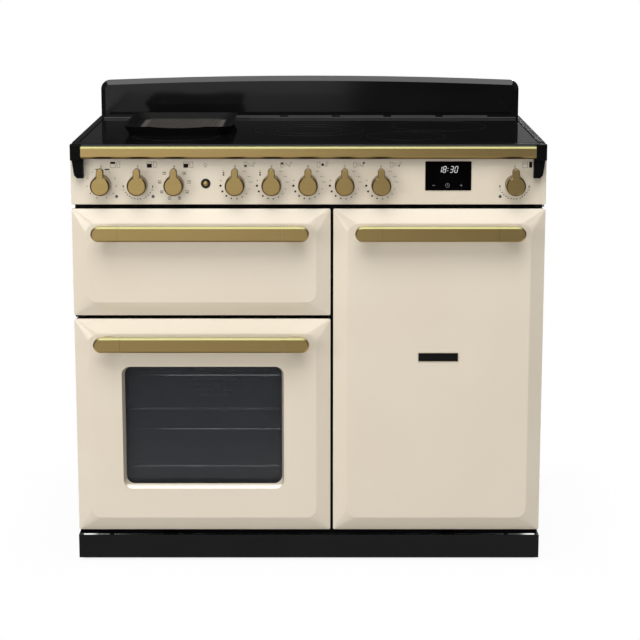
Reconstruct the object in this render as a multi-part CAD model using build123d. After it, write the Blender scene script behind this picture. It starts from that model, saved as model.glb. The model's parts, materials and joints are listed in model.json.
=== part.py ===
"""Free-standing induction range cooker, one metre class.

X runs to the right, Y to the back and Z up, in millimetres. The origin is on the floor, under the
middle of the whole cooker, from the front of the handles to the back of the splashback.
Each piece is written to its own file in parts/.
"""
from build123d import *
import os
from math import cos, radians, sin, sqrt

# Overall sizes
WIDTH = 992.0  # across the doors
HOB_HEIGHT = 905.0  # floor to the top of the glass
BODY_DEPTH = 600.0  # rim of the doors to the back of the splashback
HANDLE_REACH = 62.0  # rim of the doors to the front of the handles

# Fronts, stacked from the floor
PLINTH_LIFT = 10.0
PLINTH_HEIGHT = 51.0
PLINTH_FORWARD = 12.0
PLINTH_GAP = 9.0
LEFT_DOOR_SHARE = 0.5464  # of the whole width
CENTRE_GAP = 6.0
OVEN_DOOR_HEIGHT = 464.0
GRILL_GAP = 8.0
FASCIA_HEIGHT = 98.0
FASCIA_GAP = 9.0

# Sheet metal
SKIN = 1.2  # door skins, door bodies, cavities and outer panels
PANEL = 1.5  # fascia, plinth and hob tray
FRAME_PLATE = 3.0
SIDE_INSET = 2.0  # outer panels behind the door edges
REAR_STEP = 10.0  # rear panel in front of the back of the splashback
FLANGE = 18.0

# Doors
DOOR_RAISE = 13.0
DOOR_BORDER = 30.0
DOOR_CORNER = 3.0
PANEL_CORNER = 22.0
PANEL_SOFTENING = 5.0
RIM_SOFTENING = 1.5
DOOR_DEPTH = 40.0
SKIN_RETURN = 5.0
HEM = 14.0
DOOR_BODY_INSET = 3.0
SEAL_GAP = 6.0
SEAL_WIDTH = 10.0
RUNNING_GAP = 0.3

# Oven door window
WINDOW_WIDTH = 344.0
WINDOW_HEIGHT = 268.0
WINDOW_LIFT = 95.0
WINDOW_CORNER = 18.0
REVEAL_DEPTH = 26.0
REVEAL_TAPER = 4.4
PANE = 4.0
PANE_OVERLAP = 10.0

# Handles
HANDLE_DROP = 45.4
HANDLE_INSET = 45.0
HANDLE_HEIGHT = 31.2
HANDLE_THICKNESS = 17.0
HANDLE_BEVEL = 3.2
HANDLE_END = 55.5
HANDLE_SEAM = 0.4
POST_WIDTH = 26.0
POST_HEIGHT = 20.0
POST_ROUNDING = 6.0

# Badge plate on the tall door
BADGE_WIDTH = 84.0
BADGE_HEIGHT = 18.0
BADGE_THICKNESS = 2.0
BADGE_BEVEL = 0.7
BADGE_DROP = 315.0

# Door hinges
PIN_RADIUS = 4.0
PIN_FIT = 0.05
PIN_INSET = 14.0
PIN_SETBACK = 20.0
PIN_DEPTH = 18.0
PIN_SHOULDER = 7.0
HINGE_PLATE = 3.0
HINGE_MARGIN = 10.0
HINGE_BOSS = 18.0

# Cavities
CAVITY_SIDE = 54.0
CAVITY_END = 52.0
GRILL_END = 34.0
CAVITY_DEPTH = 430.0
INSULATION = 20.0
VENT_SLOT_PITCH = 25.0
VENT_SLOT_LENGTH = 15.0
VENT_SLOT_HEIGHT = 5.0

# Shelves and their ladders
WIRE = 3.0
RUNG_WIRE = 2.6
SHELF_WIRE = 1.75
SHELF_PITCH = 24.0
SHELF_FRONT = 30.0
SHELF_BACK = 64.0
WIRE_GAP = 0.2
OVEN_SHELF_LEVELS = (60.0, 190.0)
TALL_SHELF_LEVELS = (60.0, 210.0, 360.0)
OVEN_LADDER_LEVELS = (60.0, 125.0, 190.0, 255.0)
TALL_LADDER_LEVELS = (60.0, 135.0, 210.0, 285.0, 360.0, 435.0)

# Oven fans
FAN_RADIUS = 72.0
FAN_HUB = 14.0
FAN_DISC = 1.5
FAN_BLADES = 12
BLADE_LENGTH = 26.0
BLADE_DEPTH = 20.0
FAN_WALL_GAP = 10.0
SHAFT_RADIUS = 4.0
SHAFT_LENGTH = 36.0
MOTOR_RADIUS = 34.0
MOTOR_DEPTH = 46.0
COVER_WIDTH = 250.0
COVER_HEIGHT = 230.0
COVER_DEPTH = 44.0
COVER_CORNER = 20.0
COVER_SLOT = 5.0
COVER_SLOT_ROUNDING = 0.45  # corner radius as a share of a slot's height
COVER_SLOTS = 7
COVER_SLOT_PITCH = 13.0
COVER_SLOT_REACH = 52.0
ELEMENT_TUBE = 3.2
ELEMENT_LEG = 2.4
LEG_SPREAD = 12.0  # degrees each side of the top
RING_RADIUS = 92.0
LAMP_RADIUS = 20.0
LAMP_DEPTH = 12.0
LAMP_OFFSET = 40.0

# Grill drawer
RUNNER_HEIGHT = 34.0
RUNNER_WEB = 2.0
RUNNER_WIDTH = 12.0
RUNNER_LENGTH = 390.0
RUNNER_LIFT = 24.0
RUNNER_START = 5.0
LEDGE_WIDTH = 10.0
CARRIAGE_PLATE = 3.0
PAN_DEPTH = 24.0
PAN_WALL = 1.2
PAN_RIM = 8.0
PAN_START = 22.0
PAN_LENGTH = 335.0
PAN_CORNER = 14.0
GRILL_RUNS = 6
GRILL_DROP = 18.0
GRILL_INSET = 45.0
GRILL_BEND = 0.45  # bend radius as a share of the spacing of the runs

# Fascia controls, with heights above the bottom of the fascia
KNOB_PITCH = 76.1
KNOB_HEIGHT = 42.7
KNOB_RADIUS = 20.4
KNOB_BEVEL = 3.2
KNOB_REACH = 38.0
KNOB_GAP = 2.0
KNOB_TAB_WIDTH = 14.6
KNOB_TAB_REACH = 36.0
KNOB_TAB_DEPTH = 20.0
KNOB_TAB_BEVEL = 1.2
SPINDLE_RADIUS = 3.0
SPINDLE_GRIP = 20.0
SPINDLE_DEPTH = 18.0
SPINDLE_FIT = 0.05
BUSH_RADIUS = 5.0
BUSH_FIT = 0.2
BUSH_REACH = 1.0
SWITCH_WIDTH = 36.0
SWITCH_DEPTH = 28.0
MIDDLE_KNOB_X = -1.0
FIRST_KNOB_INSET = 63.8  # from the left edge
LAST_KNOB_INSET = 65.9  # from the right edge
KNOB_PLACES = {
    "grill": -WIDTH / 2 + FIRST_KNOB_INSET,
    "oven_heat": -WIDTH / 2 + FIRST_KNOB_INSET + KNOB_PITCH,
    "oven_function": -WIDTH / 2 + FIRST_KNOB_INSET + 2 * KNOB_PITCH,
    "hob_left_front": MIDDLE_KNOB_X - 2 * KNOB_PITCH,
    "hob_left_back": MIDDLE_KNOB_X - KNOB_PITCH,
    "hob_middle": MIDDLE_KNOB_X,
    "hob_right_back": MIDDLE_KNOB_X + KNOB_PITCH,
    "hob_right_front": MIDDLE_KNOB_X + 2 * KNOB_PITCH,
    "tall_heat": WIDTH / 2 - LAST_KNOB_INSET,
}
BUTTON_INSET = 281.4  # from the left edge
BUTTON_HEIGHT = 44.5
BUTTON_RADIUS = 5.8
BUTTON_REACH = 6.0
BUTTON_DOME = 4.2
BUTTON_LENGTH = 20.0
BUTTON_FIT = 0.08
BEZEL_RADIUS = 10.0
BEZEL_REACH = 2.5
BEZEL_BARREL = 8.0
BEZEL_DEPTH = 24.0
LEFT_LENS_INSET = 95.0
RIGHT_LENS_INSET = 95.6
LENS_PLACES = (
    -WIDTH / 2 + LEFT_LENS_INSET,
    -WIDTH / 2 + LEFT_LENS_INSET + KNOB_PITCH,
    WIDTH / 2 - RIGHT_LENS_INSET,
)
LENS_HEIGHT = 17.0
LENS_RADIUS = 3.25
LENS_FLANGE = 0.8
LENS_DOME = 0.9
LENS_ROUNDING = 0.8  # edge radius as a share of the dome
LENS_DEPTH = 10.0
LENS_FIT = 0.1
CLOCK_INSET = 204.6  # from the right edge to its middle
CLOCK_WIDTH = 96.0
CLOCK_HEIGHT = 61.0
CLOCK_LIFT = 29.8
CLOCK_CORNER = 2.0
CLOCK_FACE = 1.5
CLOCK_LIP = 4.0
CLOCK_DEPTH = 25.0

# Hob
GLASS = 4.0
GLASS_GAP = 0.5
TRAY_HEIGHT = 25.0
TRAY_LEDGE = 14.0
TRAY_FORWARD = 10.0
SIDE_TRIM = 13.0
TRIM_RISE = 1.0
FRONT_STRIP = 33.0
STRIP_ROUNDING = 3.5
GLASS_DEPTH = 494.0
GLASS_BEVEL = 1.5
VENT_SLOTS = 7
VENT_PITCH = 121.5
VENT_BAR = 15.5
VENT_MARGIN = 16.0
VENT_THICKNESS = 5.0
CROSS_LEDGE = 34.0
RAIL_INSET = 24.0
RAIL_FORWARD = 26.0
RAIL_HEIGHT = 25.6
RAIL_TOP_DROP = 3.2
RAIL_BEVEL = 3.6
RAIL_LOW_BEVEL = 5.2
RAIL_WALL = 3.0
CAP_RISE = 1.0
CAP_DROP = 32.0
CAP_ROUNDING = 2.5
TAIL_INSET = 4.0
TAIL_WIDTH = 23.5
TAIL_THICKNESS = 16.0
TAIL_LENGTH = 41.0
TAIL_TAPER = 5.0
TAIL_CHAMFER = 6.0

# Induction units: X, Y behind the door rim, radius
COILS = (
    (0.0, 272.0, 112.0),
    (210.0, 153.0, 80.0),
    (292.0, 357.0, 100.0),
    (-285.0, 150.0, 88.0),
    (-285.0, 350.0, 88.0),
)
COIL_THICKNESS = 8.0
COIL_FOOT = 22.0
GENERATOR_PLACES = (-270.0, 270.0)
GENERATOR_WIDTH = 280.0
GENERATOR_DEPTH = 300.0
GENERATOR_HEIGHT = 48.0
GENERATOR_START = 120.0

# Splashback
SPLASH_INSET = 0.5  # from the sides of the hob tray
SPLASH_RISE = 94.0
SPLASH_ARCH = 10.4
SPLASH_CORNER = 22.0
SPLASH_DEPTH = 17.0
SPLASH_BEVEL = 11.0

# Griddle: X and Y limits behind the door rim
GRIDDLE_RIM_X = (-402.0, -165.5)
GRIDDLE_RIM_Y = (159.0, 478.0)
GRIDDLE_DRAFT_X = 11.0
GRIDDLE_DRAFT_Y = 12.0
GRIDDLE_HEIGHT = 19.0
GRIDDLE_WALL = 4.5
GRIDDLE_FLOOR = 5.0
GRIDDLE_CORNER = 30.0
GRIDDLE_RIBS = 27
RIB_WIDTH = 3.2
RIB_HEIGHT = 2.5
LIP_RADIUS = 550.0
LIP_DIP = 3.5

# Base, feet and the supply inlet
BASE_LIFT = 46.0
FOOT_INSET_X = 62.0
FOOT_FRONT = 75.0
FOOT_BACK = 60.0
FOOT_RADIUS = 20.0
FOOT_PAD = 10.0
STEM_RADIUS = 5.0
STEM_FIT = 0.05
STEM_LENGTH = 62.0
FOOT_BOSS_RADIUS = 11.0
FOOT_BOSS_HEIGHT = 12.0
CLIP_X = 300.0
CLIP_WIDTH = 30.0
CLIP_HEIGHT = 10.0
CLIP_DROP = 3.0
TERMINAL_X = 330.0
TERMINAL_Z = 215.0
TERMINAL_WIDTH = 150.0
TERMINAL_HEIGHT = 130.0
TERMINAL_THICKNESS = 8.0
TERMINAL_CORNER = 8.0
INLET_RADIUS = 12.0
INLET_ROOM = 8.0
FRAME_OVERLAP = 12.0

# Planes from the front to the back
RIM = (HANDLE_REACH - BODY_DEPTH) / 2
BACK = RIM + BODY_DEPTH
HANDLE_FRONT = RIM - HANDLE_REACH
PANEL_FACE = RIM - DOOR_RAISE
DOOR_BACK = RIM + DOOR_DEPTH
FRAME_FACE = DOOR_BACK + SEAL_GAP
FRAME_BACK = FRAME_FACE + FRAME_PLATE
CAVITY_BACK = FRAME_BACK + CAVITY_DEPTH
REAR = BACK - REAR_STEP
TRAY_FRONT = RIM - TRAY_FORWARD
SPLASH_FRONT = BACK - SPLASH_DEPTH

# Levels from the floor up
PLINTH_TOP = PLINTH_LIFT + PLINTH_HEIGHT
DOOR_BASE = PLINTH_TOP + PLINTH_GAP
OVEN_DOOR_TOP = DOOR_BASE + OVEN_DOOR_HEIGHT
GRILL_DOOR_BASE = OVEN_DOOR_TOP + GRILL_GAP
GLASS_UNDER = HOB_HEIGHT - GLASS
TRAY_BASE = GLASS_UNDER - TRAY_HEIGHT
FASCIA_TOP = TRAY_BASE
FASCIA_BASE = FASCIA_TOP - FASCIA_HEIGHT
DOOR_TOP = FASCIA_BASE - FASCIA_GAP
FRAME_TOP = FASCIA_BASE + FRAME_OVERLAP

# Widths
HALF = WIDTH / 2
SIDE = HALF - SIDE_INSET
BUTTON_X = -HALF + BUTTON_INSET
RAIL_HALF = HALF - RAIL_INSET
TAIL_OUTER = HALF - TAIL_INSET
TAIL_INNER = TAIL_OUTER - TAIL_WIDTH
SPLASH_HALF = SIDE - SPLASH_INSET
LEFT_X = (-HALF, -HALF + WIDTH * LEFT_DOOR_SHARE)
RIGHT_X = (LEFT_X[1] + CENTRE_GAP, HALF)


def middle(limits):
    return (limits[0] + limits[1]) / 2


def span(limits):
    return limits[1] - limits[0]


def grown(limits, amount):
    return (limits[0] - amount, limits[1] + amount)


def about(centre, size):
    return (centre - size / 2, centre + size / 2)


def block(xs, ys, zs):
    """A box between its limits along X, Y and Z."""
    return Pos(middle(xs), middle(ys), middle(zs)) * Box(span(xs), span(ys), span(zs))


def facing(y):
    """The plane at depth y that faces the front, with X to the right and Z up."""
    return Plane((0, y, 0), x_dir=(1, 0, 0), z_dir=(0, -1, 0))


def outline(xs, zs, radius):
    return Pos(middle(xs), middle(zs)) * RectangleRounded(span(xs), span(zs), radius)


def slab(xs, ys, zs, radius):
    """A box whose four edges along Y are rounded."""
    return extrude(facing(ys[1]) * outline(xs, zs, radius), span(ys))


def rod_x(xs, y, z, radius):
    return Pos(middle(xs), y, z) * Rot(0, 90, 0) * Cylinder(radius, span(xs))


def rod_y(x, ys, z, radius):
    return extrude(facing(ys[1]) * Pos(x, z) * Circle(radius), span(ys))


def rod_z(x, y, zs, radius):
    return Pos(x, y, middle(zs)) * Cylinder(radius, span(zs))


def front_edges(shape):
    return shape.faces().sort_by(Axis.Y)[0].edges()


def ramp(xs, zs, y_wide, y_narrow, inset, wide_corner, narrow_corner):
    """A frustum from a wide outline at one depth to an outline inset all round at another."""
    wide = facing(y_wide) * outline(xs, zs, wide_corner)
    narrow = facing(y_narrow) * outline(grown(xs, -inset), grown(zs, -inset), narrow_corner)
    return loft([wide, narrow])


NODES = {}


def add(name, *solids):
    """Keep a node's separate solids under its name."""
    NODES[name] = solids


# Doors

def door_skin(xs, zs):
    """A pressed front: raised panel, sloping border, short return and a hem behind."""
    crown = ramp(xs, zs, RIM, PANEL_FACE, DOOR_BORDER, DOOR_CORNER, PANEL_CORNER)
    crown = fillet(front_edges(crown), PANEL_SOFTENING)
    hem_back = RIM + SKIN_RETURN
    form = crown + slab(xs, (RIM, hem_back), zs, DOOR_CORNER)
    inner_x = grown(xs, -SKIN)
    inner_z = grown(zs, -SKIN)
    hollow = ramp(inner_x, inner_z, RIM + SKIN, PANEL_FACE + SKIN, DOOR_BORDER, DOOR_CORNER, PANEL_CORNER)
    hollow += slab(inner_x, (RIM + SKIN, hem_back - SKIN), inner_z, DOOR_CORNER)
    mouth = block(grown(xs, -HEM), (RIM + SKIN, hem_back), grown(zs, -HEM))
    return form - hollow - mouth


def door_body(xs, zs):
    """The dark tray that closes a door from behind."""
    body_x = grown(xs, -DOOR_BODY_INSET)
    body_z = grown(zs, -DOOR_BODY_INSET)
    ys = (RIM + SKIN_RETURN, DOOR_BACK)
    tray = block(body_x, ys, body_z)
    return tray - block(grown(body_x, -SKIN), (ys[0], ys[1] - SKIN), grown(body_z, -SKIN))


def hinge_boss(x, zs):
    """The block in a corner of a door body that a hinge pin runs in."""
    xs = about(x, HINGE_BOSS)
    ys = about(RIM + PIN_SETBACK, HINGE_BOSS)
    return block(xs, ys, zs)


def hinged_body(xs, zs, pin_x):
    low = zs[0] + DOOR_BODY_INSET
    high = zs[1] - DOOR_BODY_INSET
    depth = SKIN + PIN_DEPTH
    body = door_body(xs, zs)
    body += hinge_boss(pin_x, (low, low + depth))
    body += hinge_boss(pin_x, (high - depth, high))
    return body - rod_z(pin_x, RIM + PIN_SETBACK, zs, PIN_RADIUS + PIN_FIT)


def handle(xs, door_top):
    """A bevelled bar with full-round ends, cut at two seams, on two posts."""
    bar_x = grown(xs, -HANDLE_INSET)
    z = door_top - HANDLE_DROP
    ys = (HANDLE_FRONT, HANDLE_FRONT + HANDLE_THICKNESS)
    grip = extrude(facing(ys[1]) * Pos(middle(bar_x), z) * SlotOverall(span(bar_x), HANDLE_HEIGHT), span(ys))
    grip = chamfer(front_edges(grip), HANDLE_BEVEL)
    tall = grown((z, z), HANDLE_HEIGHT)
    deep = grown(ys, HANDLE_THICKNESS)
    left_end = (bar_x[0], bar_x[0] + HANDLE_END)
    right_end = (bar_x[1] - HANDLE_END, bar_x[1])
    pieces = [grip & block((left_end[1] + HANDLE_SEAM, right_end[0] - HANDLE_SEAM), deep, tall)]
    for end in (left_end, right_end):
        post_x = about(middle(end), POST_WIDTH)
        post = slab(post_x, (ys[1], PANEL_FACE), about(z, POST_HEIGHT), POST_ROUNDING)
        pieces.append((grip & block(end, deep, tall)) + post)
    return pieces


OVEN_Z = (DOOR_BASE, OVEN_DOOR_TOP)
GRILL_Z = (GRILL_DOOR_BASE, DOOR_TOP)
TALL_Z = (DOOR_BASE, DOOR_TOP)
OVEN_PIN_X = LEFT_X[0] + PIN_INSET
TALL_PIN_X = RIGHT_X[1] - PIN_INSET
WINDOW_X = about(middle(LEFT_X), WINDOW_WIDTH)
WINDOW_Z = (DOOR_BASE + WINDOW_LIFT, DOOR_BASE + WINDOW_LIFT + WINDOW_HEIGHT)
PANE_FACE = PANEL_FACE + REVEAL_DEPTH


def glazed_skin(xs, zs):
    """The oven door's front, with a tapered reveal back to a flange for the outer pane."""
    opening = ramp(WINDOW_X, WINDOW_Z, PANEL_FACE, PANE_FACE, REVEAL_TAPER, WINDOW_CORNER, WINDOW_CORNER)
    wall_x = grown(WINDOW_X, SKIN)
    wall_z = grown(WINDOW_Z, SKIN)
    wall = ramp(wall_x, wall_z, PANEL_FACE, PANE_FACE, REVEAL_TAPER, WINDOW_CORNER, WINDOW_CORNER)
    flange_x = grown(WINDOW_X, PANE_OVERLAP)
    flange_z = grown(WINDOW_Z, PANE_OVERLAP)
    wall += slab(flange_x, (PANE_FACE - SKIN, PANE_FACE), flange_z, WINDOW_CORNER)
    return door_skin(xs, zs) + wall - opening


def make_oven_door():
    add("oven_door_skin", glazed_skin(LEFT_X, OVEN_Z))
    pane_x = grown(WINDOW_X, PANE_OVERLAP)
    pane_z = grown(WINDOW_Z, PANE_OVERLAP)
    outer = slab(pane_x, (PANE_FACE, PANE_FACE + PANE), pane_z, WINDOW_CORNER)
    seat = DOOR_BACK - SKIN
    inner = slab(pane_x, (seat - PANE, seat), pane_z, WINDOW_CORNER)
    add("oven_door_glass", outer, inner)
    body = hinged_body(LEFT_X, OVEN_Z, OVEN_PIN_X)
    sight_x = grown(WINDOW_X, -PANE_OVERLAP)
    sight_z = grown(WINDOW_Z, -PANE_OVERLAP)
    body -= slab(sight_x, (seat, DOOR_BACK), sight_z, WINDOW_CORNER)
    vents = int(WINDOW_WIDTH // VENT_SLOT_PITCH)
    slot_y = about(RIM + (SKIN_RETURN + DOOR_DEPTH) / 2, VENT_SLOT_HEIGHT)
    for number in range(vents):
        x = middle(LEFT_X) + (number - (vents - 1) / 2) * VENT_SLOT_PITCH
        body -= block(about(x, VENT_SLOT_LENGTH), slot_y, (OVEN_Z[1] - HEM, OVEN_Z[1]))
    add("oven_door_body", body)
    add("oven_door_handle", *handle(LEFT_X, OVEN_Z[1]))


def make_tall_door():
    add("tall_door_skin", door_skin(RIGHT_X, TALL_Z))
    add("tall_door_body", hinged_body(RIGHT_X, TALL_Z, TALL_PIN_X))
    add("tall_door_handle", *handle(RIGHT_X, TALL_Z[1]))
    badge_x = about(middle(RIGHT_X), BADGE_WIDTH)
    badge_z = about(DOOR_TOP - BADGE_DROP, BADGE_HEIGHT)
    badge = block(badge_x, (PANEL_FACE - BADGE_THICKNESS, PANEL_FACE), badge_z)
    add("tall_door_badge", chamfer(front_edges(badge), BADGE_BEVEL))


def hinge(pin_x, plate_z, door_z, direction):
    """A plate on the front frame with a shouldered pin that runs into a door."""
    side = -1 if pin_x < 0 else 1
    plate_x = sorted((side * SIDE, pin_x - side * HINGE_MARGIN))
    y = RIM + PIN_SETBACK
    plate = block(plate_x, (y - HINGE_MARGIN, FRAME_FACE), about(plate_z, HINGE_PLATE))
    face = door_z + direction * DOOR_BODY_INSET
    pin = rod_z(pin_x, y, sorted((plate_z, face + direction * PIN_DEPTH)), PIN_RADIUS)
    shoulder = rod_z(pin_x, y, sorted((plate_z, face - direction * RUNNING_GAP)), PIN_SHOULDER)
    return plate + pin + shoulder


def make_hinges():
    low = DOOR_BASE - PLINTH_GAP / 2
    add(
        "hinge_brackets",
        hinge(OVEN_PIN_X, low, DOOR_BASE, 1),
        hinge(OVEN_PIN_X, OVEN_DOOR_TOP + GRILL_GAP / 2, OVEN_DOOR_TOP, -1),
        hinge(TALL_PIN_X, low, DOOR_BASE, 1),
        hinge(TALL_PIN_X, DOOR_TOP + FASCIA_GAP / 2, DOOR_TOP, -1),
    )


# Cabinet and cavities

OVEN_ROOM_X = grown(LEFT_X, -CAVITY_SIDE)
OVEN_ROOM_Z = grown(OVEN_Z, -CAVITY_END)
GRILL_ROOM_Z = grown(GRILL_Z, -GRILL_END)
TALL_ROOM_X = grown(RIGHT_X, -CAVITY_SIDE)
TALL_ROOM_Z = grown(TALL_Z, -CAVITY_END)
ROOMS = (
    ("oven_cavity", OVEN_ROOM_X, OVEN_ROOM_Z, True),
    ("tall_cavity", TALL_ROOM_X, TALL_ROOM_Z, True),
    ("grill_cavity", OVEN_ROOM_X, GRILL_ROOM_Z, False),
)


def fan_place(xs, zs):
    return middle(xs), middle(zs)


def make_cavities():
    blankets = []
    seals = []
    shell_y = (FRAME_BACK, CAVITY_BACK + SKIN)
    for name, xs, zs, has_fan in ROOMS:
        shell_x = grown(xs, SKIN)
        shell_z = grown(zs, SKIN)
        shell = block(shell_x, shell_y, shell_z) - block(xs, (FRAME_BACK, CAVITY_BACK), zs)
        wool_y = (FRAME_BACK, shell_y[1] + INSULATION)
        wool = block(grown(shell_x, INSULATION), wool_y, grown(shell_z, INSULATION))
        wool -= block(shell_x, shell_y, shell_z)
        if has_fan:
            x, z = fan_place(xs, zs)
            shell -= rod_y(x, (CAVITY_BACK, shell_y[1]), z, SHAFT_RADIUS + RUNNING_GAP)
            wool -= rod_y(x, (shell_y[1], wool_y[1]), z, MOTOR_RADIUS + RUNNING_GAP)
        seal = block(grown(xs, SEAL_WIDTH), (DOOR_BACK + RUNNING_GAP, FRAME_FACE), grown(zs, SEAL_WIDTH))
        seals.append(seal - block(xs, (DOOR_BACK, FRAME_FACE), zs))
        blankets.append(wool)
        add(name, shell)
    add("cavity_insulation", *blankets)
    add("door_seals", *seals)


def make_cabinet():
    frame = block((-SIDE, SIDE), (FRAME_FACE, FRAME_BACK), (PLINTH_TOP, FRAME_TOP))
    for _, xs, zs, _ in ROOMS:
        frame -= block(xs, (FRAME_FACE, FRAME_BACK), zs)
    add("front_frame", frame)
    panels = []
    for side in (-1, 1):
        zs = (BASE_LIFT, TRAY_BASE)
        sheet = block(sorted((side * (SIDE - SKIN), side * SIDE)), (FRAME_BACK, REAR), zs)
        lip_x = sorted((side * (SIDE - FLANGE), side * SIDE))
        panels.append(sheet + block(lip_x, (FRAME_BACK, FRAME_BACK + SKIN), (PLINTH_TOP, FRAME_TOP)))
    add("side_panels", *panels)
    inner = SIDE - SKIN
    rear = block((-inner, inner), (REAR - SKIN, REAR), (BASE_LIFT, TRAY_BASE))
    rear -= rod_y(TERMINAL_X, (REAR - SKIN, REAR), TERMINAL_Z, INLET_RADIUS + INLET_ROOM)
    add("rear_panel", rear)
    cover = slab(
        about(TERMINAL_X, TERMINAL_WIDTH), (REAR, REAR + TERMINAL_THICKNESS),
        about(TERMINAL_Z, TERMINAL_HEIGHT), TERMINAL_CORNER)
    add("terminal_cover", cover - rod_y(TERMINAL_X, (REAR, BACK), TERMINAL_Z, INLET_RADIUS))


def foot_places():
    for side in (-1, 1):
        for y in (RIM + FOOT_FRONT, REAR - FOOT_BACK):
            yield side * (HALF - FOOT_INSET_X), y


def make_base():
    inner = SIDE - SKIN
    xs = (-inner, inner)
    ys = (FRAME_FACE, REAR - SKIN)
    tray = block(xs, ys, (BASE_LIFT, PLINTH_TOP))
    tray -= block(grown(xs, -SKIN), grown(ys, -SKIN), (BASE_LIFT + SKIN, PLINTH_TOP))
    feet = []
    for x, y in foot_places():
        tray += rod_z(x, y, (BASE_LIFT, BASE_LIFT + SKIN + FOOT_BOSS_HEIGHT), FOOT_BOSS_RADIUS)
        tray -= rod_z(x, y, (BASE_LIFT, PLINTH_TOP), STEM_RADIUS + STEM_FIT)
        pad = rod_z(x, y, (0, FOOT_PAD), FOOT_RADIUS)
        feet.append(pad + rod_z(x, y, (0, FOOT_PAD + STEM_LENGTH), STEM_RADIUS))
    add("base_tray", tray)
    add("levelling_feet", *feet)


def make_plinth():
    front = RIM - PLINTH_FORWARD
    zs = (PLINTH_LIFT, PLINTH_TOP)
    board = block((-HALF, HALF), (front, FRAME_FACE + FLANGE), zs)
    board -= block(grown((-HALF, HALF), -PANEL), (front + PANEL, FRAME_FACE + FLANGE), zs)
    clip_z = (PLINTH_TOP - CLIP_DROP - CLIP_HEIGHT, PLINTH_TOP - CLIP_DROP)
    for side in (-1, 1):
        board += block(about(side * CLIP_X, CLIP_WIDTH), (front, FRAME_FACE), clip_z)
    add("plinth", board)


# Inside the ovens

def ladder(x, zs, levels):
    """A side rack: two uprights and a rung at each level."""
    ends = (FRAME_BACK + SHELF_FRONT, CAVITY_BACK - SHELF_BACK)
    low = zs[0] + levels[0] - SHELF_PITCH
    high = zs[0] + levels[-1] + SHELF_PITCH
    rack = rod_z(x, ends[0], (low, high), WIRE) + rod_z(x, ends[1], (low, high), WIRE)
    for level in levels:
        rack += rod_y(x, ends, zs[0] + level, RUNG_WIRE)
    return rack


def shelf(xs, z):
    """A wire shelf: a heavy frame and thin rods from front to back."""
    ends = grown((FRAME_BACK + SHELF_FRONT, CAVITY_BACK - SHELF_BACK), -2 * WIRE - WIRE_GAP)
    grid = rod_x(xs, ends[0], z, WIRE) + rod_x(xs, ends[1], z, WIRE)
    for x in xs:
        grid += rod_y(x, ends, z, WIRE)
    count = int(span(xs) // SHELF_PITCH)
    for number in range(1, count):
        x = xs[0] + span(xs) * number / count
        grid += rod_y(x, ends, z, SHELF_WIRE)
    return grid


def make_shelves():
    racks = []
    shelves = []
    for xs, zs, rungs, levels in (
        (OVEN_ROOM_X, OVEN_ROOM_Z, OVEN_LADDER_LEVELS, OVEN_SHELF_LEVELS),
        (TALL_ROOM_X, TALL_ROOM_Z, TALL_LADDER_LEVELS, TALL_SHELF_LEVELS),
    ):
        rack_x = grown(xs, -WIRE - WIRE_GAP)
        for x in rack_x:
            racks.append(ladder(x, zs, rungs))
        shelf_x = grown(rack_x, -WIRE * sqrt(2) - WIRE_GAP)
        for level in levels:
            shelves.append(shelf(shelf_x, zs[0] + level + WIRE * sqrt(2) + WIRE_GAP))
    add("shelf_ladders", *racks)
    add("wire_shelves", *shelves)


def fan(x, z):
    """A centrifugal wheel with its shaft."""
    disc_back = CAVITY_BACK - FAN_WALL_GAP
    disc_y = (disc_back - FAN_DISC, disc_back)
    wheel = rod_y(x, disc_y, z, FAN_RADIUS)
    wheel += rod_y(x, (disc_y[0] - FAN_HUB, disc_back), z, FAN_HUB)
    blade_y = (disc_y[0] - BLADE_DEPTH, disc_back)
    for number in range(FAN_BLADES):
        blade = block((FAN_RADIUS - BLADE_LENGTH, FAN_RADIUS - FAN_DISC), blade_y, about(0, FAN_DISC))
        wheel += Pos(x, 0, z) * Rot(0, 360 * number / FAN_BLADES, 0) * blade
    return wheel + rod_y(x, (disc_back, CAVITY_BACK + SKIN + SHAFT_LENGTH), z, SHAFT_RADIUS)


def fan_cover(x, z):
    """A dished plate over a fan, with a round grid of slots in its middle."""
    ys = (CAVITY_BACK - COVER_DEPTH, CAVITY_BACK)
    xs = about(x, COVER_WIDTH)
    zs = about(z, COVER_HEIGHT)
    dish = slab(xs, ys, zs, COVER_CORNER)
    dish -= slab(grown(xs, -SKIN), (ys[0] + SKIN, ys[1]), grown(zs, -SKIN), COVER_CORNER)
    for number in range(COVER_SLOTS):
        offset = (number - (COVER_SLOTS - 1) / 2) * COVER_SLOT_PITCH
        half = sqrt(COVER_SLOT_REACH ** 2 - offset ** 2)
        slot_z = about(z + offset, COVER_SLOT)
        dish -= slab(about(x, 2 * half), (ys[0], ys[0] + SKIN), slot_z, COVER_SLOT * COVER_SLOT_ROUNDING)
    return dish


def fan_element(x, z):
    """A heating ring round a fan, with two legs to the back wall."""
    y = CAVITY_BACK - COVER_DEPTH / 2
    ring = Pos(x, y, z) * Rot(90, 0, 0) * Torus(RING_RADIUS, ELEMENT_TUBE)
    for side in (-1, 1):
        leg_x = x + side * RING_RADIUS * sin(radians(LEG_SPREAD))
        leg_z = z + RING_RADIUS * cos(radians(LEG_SPREAD))
        ring += rod_y(leg_x, (y, CAVITY_BACK), leg_z, ELEMENT_LEG)
    return ring


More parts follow.
